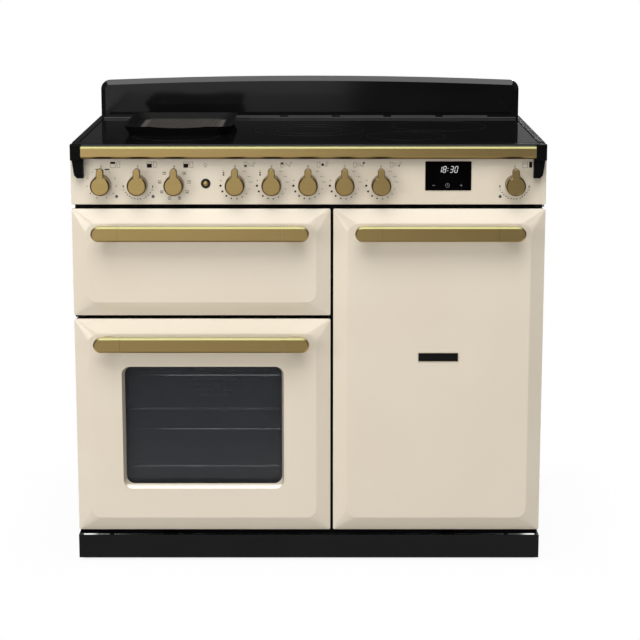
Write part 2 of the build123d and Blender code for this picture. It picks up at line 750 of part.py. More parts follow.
def grill_element():
    """A tube folded to and fro under the roof of the grill, ending in the back wall."""
    xs = grown(OVEN_ROOM_X, -GRILL_INSET)
    near = FRAME_BACK + GRILL_INSET
    far = CAVITY_BACK - GRILL_INSET
    pitch = span(xs) / (GRILL_RUNS - 1)
    points = [(xs[0], CAVITY_BACK)]
    for number in range(GRILL_RUNS - 1):
        turn = near if number % 2 == 0 else far
        points.append((xs[0] + pitch * number, turn))
        points.append((xs[0] + pitch * (number + 1), turn))
    points.append((xs[1], CAVITY_BACK))
    path = Plane.XY.offset(GRILL_ROOM_Z[1] - GRILL_DROP) * FilletPolyline(*points, radius=GRILL_BEND * pitch)
    return sweep(Plane(path @ 0, z_dir=path % 0) * Circle(ELEMENT_TUBE), path=path)


def make_oven_fittings():
    covers = []
    motors = []
    elements = []
    wall = CAVITY_BACK + SKIN
    for name, xs, zs, has_fan in ROOMS:
        if not has_fan:
            continue
        x, z = fan_place(xs, zs)
        covers.append(fan_cover(x, z))
        elements.append(fan_element(x, z))
        motor = rod_y(x, (wall, wall + MOTOR_DEPTH), z, MOTOR_RADIUS)
        bore_y = (wall, wall + SHAFT_LENGTH + RUNNING_GAP)
        motors.append(motor - rod_y(x, bore_y, z, SHAFT_RADIUS + SPINDLE_FIT))
        add(name.replace("cavity", "fan"), fan(x, z))
    add("fan_covers", *covers)
    add("fan_motors", *motors)
    add("heating_elements", *elements, grill_element())
    lamp_x = OVEN_ROOM_X[1] - LAMP_OFFSET
    lamp_z = OVEN_ROOM_Z[1] - LAMP_OFFSET
    lamp = rod_y(lamp_x, (CAVITY_BACK - LAMP_DEPTH, CAVITY_BACK), lamp_z, LAMP_RADIUS)
    add("oven_lamp", fillet(front_edges(lamp), LAMP_DEPTH / 2))


# Grill drawer

RUNNER_Z = (GRILL_ROOM_Z[0] + RUNNER_LIFT, GRILL_ROOM_Z[0] + RUNNER_LIFT + RUNNER_HEIGHT)
RUNNER_Y = (FRAME_BACK + RUNNER_START, FRAME_BACK + RUNNER_START + RUNNER_LENGTH)


def channel(wall, inward, start, zs):
    """A runner channel, open towards the middle of the drawer, from one distance off the wall."""
    outer = sorted((wall + inward * start, wall + inward * RUNNER_WIDTH))
    hollow = sorted((wall + inward * (start + RUNNER_WEB), wall + inward * RUNNER_WIDTH))
    return block(outer, RUNNER_Y, zs) - block(hollow, RUNNER_Y, grown(zs, -RUNNER_WEB))


def make_grill_drawer():
    step = RUNNER_WEB + RUNNING_GAP
    fixed = []
    sliding = []
    bar_z = grown(RUNNER_Z, -2 * step)
    bar_y = (DOOR_BACK, RUNNER_Y[1])
    plate_x = grown(OVEN_ROOM_X, -2 * step)
    carriage = block(plate_x, (DOOR_BACK, DOOR_BACK + CARRIAGE_PLATE), bar_z)
    carriage += block(plate_x, (bar_y[1] - CARRIAGE_PLATE, bar_y[1]), bar_z)
    for wall, inward in ((OVEN_ROOM_X[0], 1), (OVEN_ROOM_X[1], -1)):
        fixed.append(channel(wall, inward, 0, RUNNER_Z))
        sliding.append(channel(wall, inward, step, grown(RUNNER_Z, -step)))
        bar_x = sorted((wall + inward * 2 * step, wall + inward * RUNNER_WIDTH))
        carriage += block(bar_x, bar_y, bar_z)
        ledge_x = sorted((wall + inward * RUNNER_WIDTH, wall + inward * (RUNNER_WIDTH + LEDGE_WIDTH)))
        carriage += block(ledge_x, bar_y, (bar_z[0], bar_z[0] + RUNNER_WEB))
    add("grill_runner_outer", *fixed)
    add("grill_runner_middle", *sliding)
    add("grill_carriage", carriage)
    add("grill_pan", grill_pan(bar_z[0] + RUNNER_WEB))
    add("grill_door_skin", door_skin(LEFT_X, GRILL_Z))
    add("grill_door_body", door_body(LEFT_X, GRILL_Z))
    add("grill_door_handle", *handle(LEFT_X, GRILL_Z[1]))


def grill_pan(seat):
    """A shallow pan that hangs by its rim on the carriage ledges."""
    ledge = RUNNER_WIDTH + LEDGE_WIDTH
    body_x = grown(OVEN_ROOM_X, -ledge - RUNNING_GAP)
    body_y = (FRAME_BACK + PAN_START, FRAME_BACK + PAN_START + PAN_LENGTH)
    plan = Pos(middle(body_x), middle(body_y))
    rim_shape = plan * RectangleRounded(span(body_x) + 2 * PAN_RIM, span(body_y), PAN_CORNER)
    body_shape = plan * RectangleRounded(span(body_x), span(body_y), PAN_CORNER)
    well_x = grown(body_x, -PAN_WALL)
    well_y = grown(body_y, -PAN_WALL)
    well_shape = plan * RectangleRounded(span(well_x), span(well_y), PAN_CORNER)
    pan = Pos(0, 0, seat) * extrude(rim_shape, PAN_WALL)
    pan += Pos(0, 0, seat - PAN_DEPTH) * extrude(body_shape, PAN_DEPTH + PAN_WALL)
    return pan - Pos(0, 0, seat - PAN_DEPTH + PAN_WALL) * extrude(well_shape, PAN_DEPTH)


# Fascia and controls

KNOB_Z = FASCIA_BASE + KNOB_HEIGHT
LENS_Z = FASCIA_BASE + LENS_HEIGHT
BUTTON_Z = FASCIA_BASE + BUTTON_HEIGHT
CLOCK_Z = (FASCIA_BASE + CLOCK_LIFT, FASCIA_BASE + CLOCK_LIFT + CLOCK_HEIGHT)
CLOCK_SPAN = about(HALF - CLOCK_INSET, CLOCK_WIDTH)
FASCIA_INSIDE = RIM + PANEL


def make_fascia():
    zs = (FASCIA_BASE, FASCIA_TOP)
    panel = slab((-HALF, HALF), (RIM, FRAME_FACE), zs, DOOR_CORNER)
    panel = fillet(front_edges(panel), RIM_SOFTENING)
    panel -= block(grown((-HALF, HALF), -PANEL), (FASCIA_INSIDE, FRAME_FACE), grown(zs, -PANEL))
    hole_y = (RIM, FASCIA_INSIDE)
    for x in KNOB_PLACES.values():
        panel -= rod_y(x, hole_y, KNOB_Z, BUSH_RADIUS + BUSH_FIT)
    for x in LENS_PLACES:
        panel -= rod_y(x, hole_y, LENS_Z, LENS_RADIUS - LENS_FLANGE + LENS_FIT)
    panel -= rod_y(BUTTON_X, hole_y, BUTTON_Z, BEZEL_BARREL + BUSH_FIT)
    panel -= block(grown(CLOCK_SPAN, -CLOCK_LIP), hole_y, grown(CLOCK_Z, -CLOCK_LIP))
    add("fascia", panel)


def knob(x):
    """A turned cap with an upright pointer tab, and the spindle that it grips."""
    front = RIM - KNOB_REACH
    cap = chamfer(front_edges(rod_y(x, (front, RIM - KNOB_GAP), KNOB_Z, KNOB_RADIUS)), KNOB_BEVEL)
    tab_top = KNOB_Z + KNOB_TAB_REACH - KNOB_TAB_WIDTH / 2
    shape = Pos(x, (KNOB_Z + tab_top) / 2) * Rectangle(KNOB_TAB_WIDTH, tab_top - KNOB_Z)
    shape += Pos(x, tab_top) * Circle(KNOB_TAB_WIDTH / 2)
    tab = extrude(facing(front + KNOB_TAB_DEPTH) * shape, KNOB_TAB_DEPTH)
    cap += chamfer(front_edges(tab), KNOB_TAB_BEVEL)
    grip = RIM - KNOB_GAP - SPINDLE_GRIP
    cap -= rod_y(x, (grip, RIM - KNOB_GAP), KNOB_Z, SPINDLE_RADIUS)
    return cap, rod_y(x, (grip, RIM + SPINDLE_DEPTH), KNOB_Z, SPINDLE_RADIUS)


def switch(x):
    """A rotary switch on the back of the fascia, with a bush through it."""
    body_y = (FASCIA_INSIDE, FASCIA_INSIDE + SWITCH_DEPTH)
    body = block(about(x, SWITCH_WIDTH), body_y, about(KNOB_Z, SWITCH_WIDTH))
    body += rod_y(x, (RIM - BUSH_REACH, FASCIA_INSIDE), KNOB_Z, BUSH_RADIUS)
    bore_y = (RIM - BUSH_REACH, RIM + SPINDLE_DEPTH + RUNNING_GAP)
    return body - rod_y(x, bore_y, KNOB_Z, SPINDLE_RADIUS + SPINDLE_FIT)


def make_controls():
    for name, x in KNOB_PLACES.items():
        add("knob_" + name, *knob(x))
    add("control_switches", *[switch(x) for x in KNOB_PLACES.values()])
    lenses = []
    for x in LENS_PLACES:
        lens = rod_y(x, (RIM - LENS_DOME, RIM), LENS_Z, LENS_RADIUS)
        lens = fillet(front_edges(lens), LENS_DOME * LENS_ROUNDING)
        lenses.append(lens + rod_y(x, (RIM, RIM + LENS_DEPTH), LENS_Z, LENS_RADIUS - LENS_FLANGE))
    add("indicator_lenses", *lenses)
    clock = slab(CLOCK_SPAN, (RIM - CLOCK_FACE, RIM), CLOCK_Z, CLOCK_CORNER)
    body_lip = CLOCK_LIP + BUSH_FIT
    clock += block(grown(CLOCK_SPAN, -body_lip), (RIM, RIM + CLOCK_DEPTH), grown(CLOCK_Z, -body_lip))
    add("clock_display", clock)
    bezel = rod_y(BUTTON_X, (RIM - BEZEL_REACH, RIM), BUTTON_Z, BEZEL_RADIUS)
    bezel = fillet(front_edges(bezel), BEZEL_REACH / 2)
    bezel += rod_y(BUTTON_X, (RIM, RIM + BEZEL_DEPTH), BUTTON_Z, BEZEL_BARREL)
    bore_y = (RIM - BEZEL_REACH, RIM + BEZEL_DEPTH - PANEL)
    add("light_button_bezel", bezel - rod_y(BUTTON_X, bore_y, BUTTON_Z, BUTTON_RADIUS + BUTTON_FIT))
    button_y = (RIM - BUTTON_REACH, RIM - BUTTON_REACH + BUTTON_LENGTH)
    button = rod_y(BUTTON_X, button_y, BUTTON_Z, BUTTON_RADIUS)
    add("light_button", fillet(front_edges(button), BUTTON_DOME))


# Hob

GLASS_X = grown((-SIDE, SIDE), -SIDE_TRIM - GLASS_GAP)
GLASS_FRONT = TRAY_FRONT + FRONT_STRIP + GLASS_GAP
GLASS_BACK = GLASS_FRONT + GLASS_DEPTH
VENT_Y = (GLASS_BACK + GLASS_GAP, SPLASH_FRONT)


def make_hob():
    xs = (-SIDE, SIDE)
    ys = (TRAY_FRONT, BACK)
    tray = block(xs, ys, (TRAY_BASE, GLASS_UNDER))
    inside = block(grown(xs, -PANEL), grown(ys, -PANEL), (TRAY_BASE + PANEL, GLASS_UNDER - PANEL))
    mouth_y = (GLASS_FRONT + TRAY_LEDGE, SPLASH_FRONT - TRAY_LEDGE)
    mouth = block(grown(GLASS_X, -TRAY_LEDGE), mouth_y, (TRAY_BASE + PANEL, GLASS_UNDER))
    bridge_y = about(GLASS_BACK, CROSS_LEDGE)
    tray = tray - inside - mouth
    tray += block(grown(xs, -PANEL), bridge_y, (GLASS_UNDER - PANEL, GLASS_UNDER))
    strip = block(xs, (TRAY_FRONT, TRAY_FRONT + FRONT_STRIP), (GLASS_UNDER, HOB_HEIGHT))
    strip_edge = strip.edges().filter_by(Axis.X).group_by(Axis.Y)[0].sort_by(Axis.Z)[-1]
    tray += fillet(strip_edge, STRIP_ROUNDING)
    for side in (-1, 1):
        trim_x = sorted((side * (SIDE - SIDE_TRIM), side * SIDE))
        trim_y = (TRAY_FRONT + FRONT_STRIP, SPLASH_FRONT)
        tray += block(trim_x, trim_y, (GLASS_UNDER, HOB_HEIGHT + TRIM_RISE))
    add("hob_tray", tray)
    glass = block(GLASS_X, (GLASS_FRONT, GLASS_BACK), (GLASS_UNDER, HOB_HEIGHT))
    add("hob_glass", chamfer(glass.faces().sort_by(Axis.Z)[-1].edges(), GLASS_BEVEL))
    vent = block(GLASS_X, VENT_Y, (GLASS_UNDER, GLASS_UNDER + VENT_THICKNESS))
    for number in range(VENT_SLOTS):
        x = (number - (VENT_SLOTS - 1) / 2) * VENT_PITCH
        slot_y = grown(VENT_Y, -VENT_MARGIN)
        vent -= block(about(x, VENT_PITCH - VENT_BAR), slot_y, (GLASS_UNDER, GLASS_UNDER + VENT_THICKNESS))
    add("hob_vent_strip", vent)


def make_rail():
    top = HOB_HEIGHT - RAIL_TOP_DROP
    base = top - RAIL_HEIGHT
    front = RIM - RAIL_FORWARD
    bar = block((-RAIL_HALF, RAIL_HALF), (front, TRAY_FRONT), (base, top))
    bar = chamfer(front_edges(bar).filter_by(Axis.X).sort_by(Axis.Z)[-1], RAIL_BEVEL)
    bar = chamfer(front_edges(bar).filter_by(Axis.X).sort_by(Axis.Z)[0], RAIL_LOW_BEVEL)
    hollow_z = (base + RAIL_LOW_BEVEL + RAIL_WALL, top - RAIL_BEVEL - RAIL_WALL)
    bar -= block((-RAIL_HALF, RAIL_HALF), (front + RAIL_WALL, TRAY_FRONT), hollow_z)
    add("hob_rail", bar)
    caps = []
    for side in (-1, 1):
        cap_x = sorted((side * RAIL_HALF, side * SIDE))
        cap_z = (HOB_HEIGHT - CAP_DROP, HOB_HEIGHT + CAP_RISE)
        cap = block(cap_x, (front, TRAY_FRONT), cap_z)
        cap = fillet(cap.edges().group_by(Axis.Y)[0], CAP_ROUNDING)
        caps.append(cap + cap_tail(side))
    add("hob_end_caps", *caps)


def cap_tail(side):
    """The tapered bracket that runs down from an end cap over the fascia."""
    top = TRAY_BASE
    foot = top - TAIL_LENGTH
    points = (
        (side * TAIL_INNER, top),
        (side * TAIL_OUTER, top),
        (side * (TAIL_OUTER - TAIL_TAPER), foot + TAIL_CHAMFER),
        (side * (TAIL_OUTER - TAIL_TAPER - TAIL_CHAMFER), foot),
        (side * TAIL_INNER, foot),
    )
    shape = make_face(Polyline(*points, close=True))
    return extrude(facing(RIM) * shape, TAIL_THICKNESS, dir=(0, -1, 0))


def make_induction():
    coils = []
    for x, setback, radius in COILS:
        y = RIM + setback
        disc_base = GLASS_UNDER - COIL_THICKNESS
        foot = rod_z(x, y, (TRAY_BASE + PANEL, disc_base), COIL_FOOT)
        coils.append(rod_z(x, y, (disc_base, GLASS_UNDER), radius) + foot)
    add("induction_coils", *coils)
    boxes = []
    for x in GENERATOR_PLACES:
        ys = (RIM + GENERATOR_START, RIM + GENERATOR_START + GENERATOR_DEPTH)
        xs = about(x, GENERATOR_WIDTH)
        zs = (TRAY_BASE - GENERATOR_HEIGHT, TRAY_BASE)
        boxes.append(block(xs, ys, zs) - block(grown(xs, -PANEL), grown(ys, -PANEL), grown(zs, -PANEL)))
    add("induction_generators", *boxes)


def make_splashback():
    """A hollow panel with a gently arched top, round corners and a bevel along its front edge."""
    end = HOB_HEIGHT + SPLASH_RISE - SPLASH_ARCH
    crown = HOB_HEIGHT + SPLASH_RISE
    base = GLASS_UNDER
    arch = ThreePointArc((-SPLASH_HALF, end), (0, crown), (SPLASH_HALF, end))
    sides = Polyline((SPLASH_HALF, end), (SPLASH_HALF, base), (-SPLASH_HALF, base), (-SPLASH_HALF, end))
    shape = make_face(arch + sides)
    corners = shape.vertices().group_by(Axis.Y)[-1]
    shape = fillet(corners, SPLASH_CORNER)
    panel = extrude(facing(BACK) * shape, SPLASH_DEPTH, dir=(0, -1, 0))
    front = panel.faces().sort_by(Axis.Y)[0]
    upper = front.edges().filter_by(lambda edge: edge.center().Z > base + SPLASH_CORNER)
    panel = chamfer(upper, SPLASH_BEVEL)
    room_x = grown((-SPLASH_HALF, SPLASH_HALF), -SPLASH_BEVEL - SPLASH_CORNER)
    room_z = (base + PANEL, end - SPLASH_BEVEL - PANEL)
    add("splashback", panel - block(room_x, (SPLASH_FRONT + PANEL, BACK - PANEL), room_z))


def plan_outline(xs, ys, z, corner):
    return Plane.XY.offset(z) * Pos(middle(xs), middle(ys)) * RectangleRounded(span(xs), span(ys), corner)


def make_griddle():
    rim_y = (RIM + GRIDDLE_RIM_Y[0], RIM + GRIDDLE_RIM_Y[1])
    base_x = grown(GRIDDLE_RIM_X, -GRIDDLE_DRAFT_X)
    base_y = grown(rim_y, -GRIDDLE_DRAFT_Y)
    top = HOB_HEIGHT + GRIDDLE_HEIGHT
    floor = HOB_HEIGHT + GRIDDLE_FLOOR
    outer = loft([
        plan_outline(base_x, base_y, HOB_HEIGHT, GRIDDLE_CORNER),
        plan_outline(GRIDDLE_RIM_X, rim_y, top, GRIDDLE_CORNER),
    ])
    inner_corner = GRIDDLE_CORNER - GRIDDLE_WALL
    well_x = grown(base_x, -GRIDDLE_WALL)
    well_y = grown(base_y, -GRIDDLE_WALL)
    well = loft([
        plan_outline(well_x, well_y, floor, inner_corner),
        plan_outline(grown(GRIDDLE_RIM_X, -GRIDDLE_WALL), grown(rim_y, -GRIDDLE_WALL), top, inner_corner),
    ])
    pan = outer - well
    pitch = (span(well_x) - 2 * inner_corner) / (GRIDDLE_RIBS - 1)
    rib_y = grown(well_y, -inner_corner / 2)
    for number in range(GRIDDLE_RIBS):
        x = well_x[0] + inner_corner + pitch * number
        pan += block(about(x, RIB_WIDTH), rib_y, (floor, floor + RIB_HEIGHT))
    lip_y = (rim_y[0], middle(rim_y))
    pan -= rod_y(middle(GRIDDLE_RIM_X), lip_y, top + LIP_RADIUS - LIP_DIP, LIP_RADIUS)
    add("griddle", pan)


def write_parts():
    os.makedirs("parts", exist_ok=True)
    for name, solids in NODES.items():
        pieces = [solid for shape in solids for solid in shape.solids()]
        body = pieces[0] if len(pieces) == 1 else Compound(pieces)
        export_step(body, os.path.join("parts", name + ".step"))
    print(len(NODES), "nodes written")


make_oven_door()
make_tall_door()
make_hinges()
make_cavities()
make_cabinet()
make_base()
make_plinth()
make_shelves()
make_oven_fittings()
make_grill_drawer()
make_fascia()
make_controls()
make_hob()
make_rail()
make_induction()
make_splashback()
make_griddle()
write_parts()
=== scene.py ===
# %% [markdown]
# # A range cooker in cream enamel and brass
#
# This lesson dresses the solids of an induction range cooker. The solids already hold every door,
# knob and panel in its real place, in metres, so the work here is finish: enamel, brass, glass and
# iron, the printing on the controls, and the small fasteners that a solid model leaves out.

# %% Load the solids
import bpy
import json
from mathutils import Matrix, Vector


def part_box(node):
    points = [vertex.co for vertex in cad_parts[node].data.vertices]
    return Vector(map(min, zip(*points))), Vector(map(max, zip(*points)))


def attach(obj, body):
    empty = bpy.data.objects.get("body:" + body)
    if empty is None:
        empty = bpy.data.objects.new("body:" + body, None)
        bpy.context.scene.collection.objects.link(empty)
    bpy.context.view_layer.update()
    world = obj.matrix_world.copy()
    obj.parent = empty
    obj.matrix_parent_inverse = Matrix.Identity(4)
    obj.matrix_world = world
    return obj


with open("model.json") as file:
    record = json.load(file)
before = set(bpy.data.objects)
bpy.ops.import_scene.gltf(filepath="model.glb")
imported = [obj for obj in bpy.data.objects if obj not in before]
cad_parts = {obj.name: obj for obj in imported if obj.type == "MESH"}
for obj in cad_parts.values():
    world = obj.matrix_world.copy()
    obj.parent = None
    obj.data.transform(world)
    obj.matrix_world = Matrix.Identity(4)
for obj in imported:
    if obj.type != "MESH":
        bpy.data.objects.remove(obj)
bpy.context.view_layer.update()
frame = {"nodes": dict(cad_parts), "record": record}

# %% [markdown]
# Sizes on a drawing are in millimetres and Blender works in metres, so one factor, MM, turns the first into
# the second. A few faces are looked up once in the frame, because many pieces stand on them.

# %% Modules and units
import json
from math import cos, pi, radians, sin

import bmesh
import bpy
from mathutils import Euler, Matrix, Vector

MM = 0.001
FASCIA_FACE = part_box("fascia")[0].y
HOB_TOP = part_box("hob_glass")[1].z
REAR_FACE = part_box("rear_panel")[1].y
print("fascia at y =", round(FASCIA_FACE, 4), "and hob at z =", round(HOB_TOP, 4))

# %% [markdown]
# ## Camera
#
# The cooker was photographed from slightly above with a long lens. The straight edges of its doors and
# hob fix where the camera stood, how far it looks down and how long the lens is.

# %% Camera
CAMERA_PLACE = (0.02395, -4.4083, 1.375)
CAMERA_PITCH = 11.518  # degrees below the horizon
CAMERA_LENS = 112.29
CAMERA_SENSOR = 36.0

camera = bpy.data.objects.new("camera", bpy.data.cameras.new("camera"))
camera.data.lens = CAMERA_LENS
camera.data.sensor_width = CAMERA_SENSOR
camera.location = CAMERA_PLACE
camera.rotation_euler = (radians(90 - CAMERA_PITCH), 0, 0)
bpy.context.scene.collection.objects.link(camera)
bpy.context.scene.camera = camera
bpy.context.scene.view_settings.view_transform = "Standard"
print("camera at", CAMERA_PLACE, "looking down", CAMERA_PITCH, "degrees")

# %% [markdown]
# ## Steps that node trees share
#
# Floor, finishes and repeats are all node trees, and some steps come back in each: a sum, a soft threshold,
# the distance of a point from a box. A short function for each keeps the trees readable.

# %% Node helpers
def math_node(tree, operation, *values):
    """One step of arithmetic in a node tree; a value is a number or an output."""
    node = tree.nodes.new("ShaderNodeMath")
    node.operation = operation
    for number, value in enumerate(values):
        if isinstance(value, (int, float)):
            node.inputs[number].default_value = value
        else:
            tree.links.new(value, node.inputs[number])
    return node.outputs[0]


def smooth_step(tree, value, low, high):
    node = tree.nodes.new("ShaderNodeMapRange")
    node.interpolation_type = "SMOOTHSTEP"
    tree.links.new(value, node.inputs["Value"])
    node.inputs["From Min"].default_value = low
    node.inputs["From Max"].default_value = high
    return node.outputs["Result"]


def outside_box(tree, centre, half):
    """How far a point lies outside a box, along the axis on which it is furthest out."""
    place = tree.nodes.new("ShaderNodeTexCoord")
    axes = tree.nodes.new("ShaderNodeSeparateXYZ")
    tree.links.new(place.outputs["Object"], axes.inputs[0])
    furthest = []
    for axis, middle, reach in zip("XYZ", centre, half):
        offset = math_node(tree, "ABSOLUTE", math_node(tree, "SUBTRACT", axes.outputs[axis], middle))
        furthest.append(math_node(tree, "SUBTRACT", offset, reach))
    while len(furthest) > 1:
        furthest.append(math_node(tree, "MAXIMUM", furthest.pop(), furthest.pop()))
    return furthest[0]


# %% [markdown]
# ## Studio
#
# A product picture on white needs a white ground that does not flood the object with light. The floor and
# the far backdrop are therefore white only to what looks at them: the camera, and rays that come off metal
# or through glass. To light that bounces they are dull, and under the cooker the floor keeps its shadow.
# Far from the cooker the floor is dull to metal too, which keeps the lower bevels of the brass dark, together
# with the painted shade in their finish.
# Both sheets are large, so that a view from any side ends on white.

# %% Studio ground
FOOTPRINT_X = 0.485
FOOTPRINT_Y = 0.25
SHADOW_EDGE = 0.012
SHADOW_REACH = 0.35
MIRROR_NEAR = 0.4
MIRROR_FAR = 1.4
LIT_LEVEL = 0.9  # share of light that the floor returns where its shadow shows
DULL_LEVEL = 0.35  # share that it returns to light that bounces


def matte_shader(tree, level):
    node = tree.nodes.new("ShaderNodeBsdfDiffuse")
    node.inputs["Color"].default_value = (level, level, level, 1)
    return node.outputs[0]


def mix_shader(tree, share, one, two):
    node = tree.nodes.new("ShaderNodeMixShader")
    tree.links.new(share, node.inputs[0])
    tree.links.new(one, node.inputs[1])
    tree.links.new(two, node.inputs[2])
    return node.outputs[0]


def white_ground(name, share):
    """White with a faint shadow to the rays that show it, and dull to light that bounces."""
    material = bpy.data.materials.new(name)
    material.use_nodes = True
    tree = material.node_tree
    tree.nodes.clear()
    path = tree.nodes.new("ShaderNodeLightPath").outputs
    distance = outside_box(tree, (0, 0), (FOOTPRINT_X, FOOTPRINT_Y))
    near = smooth_step(tree, distance, MIRROR_FAR, MIRROR_NEAR)
    mirrored = math_node(tree, "MULTIPLY", path["Is Glossy Ray"], near)
    seen = math_node(tree, "MAXIMUM", path["Is Camera Ray"], path["Is Transmission Ray"])
    seen = math_node(tree, "MAXIMUM", seen, mirrored)
    glow = tree.nodes.new("ShaderNodeEmission").outputs[0]
    outside = smooth_step(tree, distance, -SHADOW_EDGE, SHADOW_EDGE)
    away = smooth_step(tree, distance, SHADOW_EDGE, SHADOW_REACH)
    clear = math_node(tree, "ADD", share, math_node(tree, "MULTIPLY", away, 1 - share))
    shown = mix_shader(tree, math_node(tree, "MULTIPLY", outside, clear), matte_shader(tree, LIT_LEVEL), glow)
    surface = mix_shader(tree, seen, matte_shader(tree, DULL_LEVEL), shown)
    output = tree.nodes.new("ShaderNodeOutputMaterial")
    tree.links.new(surface, output.inputs["Surface"])
    return material


# %% Floor and backdrop
FLOOR_CLEAR = 0.95  # share of white beside the cooker's foot
STAGE_HALF = 60.0
STAGE_BACK = 60.0
STAGE_TOP = 8.0


def stage_sheet(name, corners, material):
    mesh = bpy.data.meshes.new(name)
    mesh.from_pydata(corners, [], [(0, 1, 2, 3)])
    mesh.materials.append(material)
    sheet = bpy.data.objects.new(name, mesh)
    bpy.context.scene.collection.objects.link(sheet)


stage_sheet("floor", [
    (-STAGE_HALF, -STAGE_HALF, 0), (STAGE_HALF, -STAGE_HALF, 0),
    (STAGE_HALF, STAGE_BACK, 0), (-STAGE_HALF, STAGE_BACK, 0),
], white_ground("floor_white", FLOOR_CLEAR))
stage_sheet("backdrop", [
    (-STAGE_HALF, STAGE_BACK, 0), (STAGE_HALF, STAGE_BACK, 0),
    (STAGE_HALF, STAGE_BACK, STAGE_TOP), (-STAGE_HALF, STAGE_BACK, STAGE_TOP),
], white_ground("backdrop_white", 1.0))
print("ground: floor and backdrop")

# %% [markdown]
# Softboxes stand round the cooker as in a photo studio. A high wash gives most of the light and draws the
# bright upper bevels, and a key on the left and a weaker fill on the right light the fronts. Two strips
# overhead light the hob's front edge and the top of the splashback, and a lamp behind serves views of the
# back. Two weak cards are there to be mirrored: one by the brass, one by the right end of the hob. A small
# lamp glows in the oven.

# %% Studio lights
GLOW_SETBACK = 0.12  # of the oven's lamp from the mouth of the cavity
GLOW_DROP = 0.05


def softbox(name, place, aim, size, power):
    lamp = bpy.data.lights.new(name, "AREA")
    lamp.shape = "RECTANGLE"
    lamp.size, lamp.size_y = size
    lamp.energy = power
    holder = bpy.data.objects.new(name, lamp)
    holder.location = place
    holder.rotation_euler = (Vector(aim) - Vector(place)).to_track_quat("-Z", "Y").to_euler()
    bpy.context.scene.collection.objects.link(holder)
    return holder


# name, place, aim, width and height in metres, power in watts
softbox("key_light", (-3.0, -3.6, 1.5), (0, -0.2, 0.6), (2.2, 2.2), 67)
softbox("fill_light", (3.0, -4.2, 1.3), (0, -0.2, 0.5), (2.0, 2.0), 22)
softbox("wash_light", (-0.5, -3.95, 5.15), (0, -0.25, 0.4), (4.5, 3.6), 236)
softbox("top_light", (0, -0.76, 3.2), (0, -0.5, 0.5), (3.6, 0.5), 13)
softbox("rear_strip", (0, 0.14, 3.2), (0, 0.14, 0.9), (3.6, 0.3), 19)
softbox("back_light", (0.6, 3.0, 0.75), (0, 0.3, 0.6), (1.2, 0.6), 24)
softbox("front_card", (-1.2, -5.0, 0.75), (-0.2, -0.2, 0.75), (2.8, 1.5), 16)
end_card = softbox("end_card", (0.78, 3.0, 1.23), (0.47, 0, 0.905), (0.5, 0.35), 0.07)
end_card.visible_camera = False
oven_low, oven_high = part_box("oven_cavity")
oven_middle = (oven_low + oven_high) / 2
oven_front = (oven_middle.x, oven_low.y + GLOW_SETBACK, oven_high.z - GLOW_DROP)
oven_aim = (oven_middle.x, oven_middle.y + GLOW_DROP, oven_middle.z)
softbox("oven_glow", oven_front, oven_aim, (0.3, 0.08), 0.56)
print("lamps:", len(bpy.data.lights))

# %% [markdown]
# The surroundings are an even grey. Behind the cooker they are dimmed, as in a studio with a dark end, and
# the black glass of the hob, which mirrors what lies behind it, stays black.

# %% Surroundings
WORLD_GREY = (0.2, 0.2, 0.205, 1)
DIM_START = 0.6  # how far a direction points to the back where the dimming starts
DIM_END = 0.9
DIM_SHARE = 0.12

world = bpy.data.worlds.new("studio")
bpy.context.scene.world = world
world.use_nodes = True
air = world.node_tree
direction = air.nodes.new("ShaderNodeSeparateXYZ")
air.links.new(air.nodes.new("ShaderNodeTexCoord").outputs["Generated"], direction.inputs[0])
dimming = air.nodes.new("ShaderNodeMapRange")
dimming.inputs["From Min"].default_value = DIM_START
dimming.inputs["From Max"].default_value = DIM_END
dimming.inputs["To Min"].default_value = 1.0
dimming.inputs["To Max"].default_value = DIM_SHARE
air.links.new(direction.outputs["Y"], dimming.inputs["Value"])
air.nodes["Background"].inputs["Color"].default_value = WORLD_GREY
air.links.new(dimming.outputs["Result"], air.nodes["Background"].inputs["Strength"])
print("surroundings dimmed to", DIM_SHARE, "behind")

# %% [markdown]
# ## Patterns that several finishes share
#
# Real surfaces are never one flat colour: enamel has a faint ripple, brushed brass has fine lines, zinc
# coating has crystals. Each pattern is one node group, made once, and every finish sets its own scale.

# %% Pattern groups
NOISE_DETAIL = 3.0


def pattern_group(name, inputs):
    group = bpy.data.node_groups.new(name, "ShaderNodeTree")
    group.interface.new_socket("Mask", in_out="OUTPUT", socket_type="NodeSocketFloat")
    for label, value in inputs.items():
        socket = group.interface.new_socket(label, in_out="INPUT", socket_type="NodeSocketFloat")
        socket.default_value = value
    start = group.nodes.new("NodeGroupInput")
    end = group.nodes.new("NodeGroupOutput")
    coordinates = group.nodes.new("ShaderNodeTexCoord")
    return group, start, end, coordinates.outputs["Object"]


def spread(group, value, start, end):
    """Stretches a value between the group's Low and High inputs to the full range."""
    stretch = group.nodes.new("ShaderNodeMapRange")
    group.links.new(value, stretch.inputs["Value"])
    group.links.new(start.outputs["Low"], stretch.inputs["From Min"])
    group.links.new(start.outputs["High"], stretch.inputs["From Max"])
    group.links.new(stretch.outputs["Result"], end.inputs["Mask"])


def make_cloud():
    group, start, end, place = pattern_group("cloud", {"Scale": 5.0, "Low": 0.3, "High": 0.7})
    noise = group.nodes.new("ShaderNodeTexNoise")
    noise.inputs["Detail"].default_value = NOISE_DETAIL
    group.links.new(place, noise.inputs["Vector"])
    group.links.new(start.outputs["Scale"], noise.inputs["Scale"])
    spread(group, noise.outputs[0], start, end)
    return group


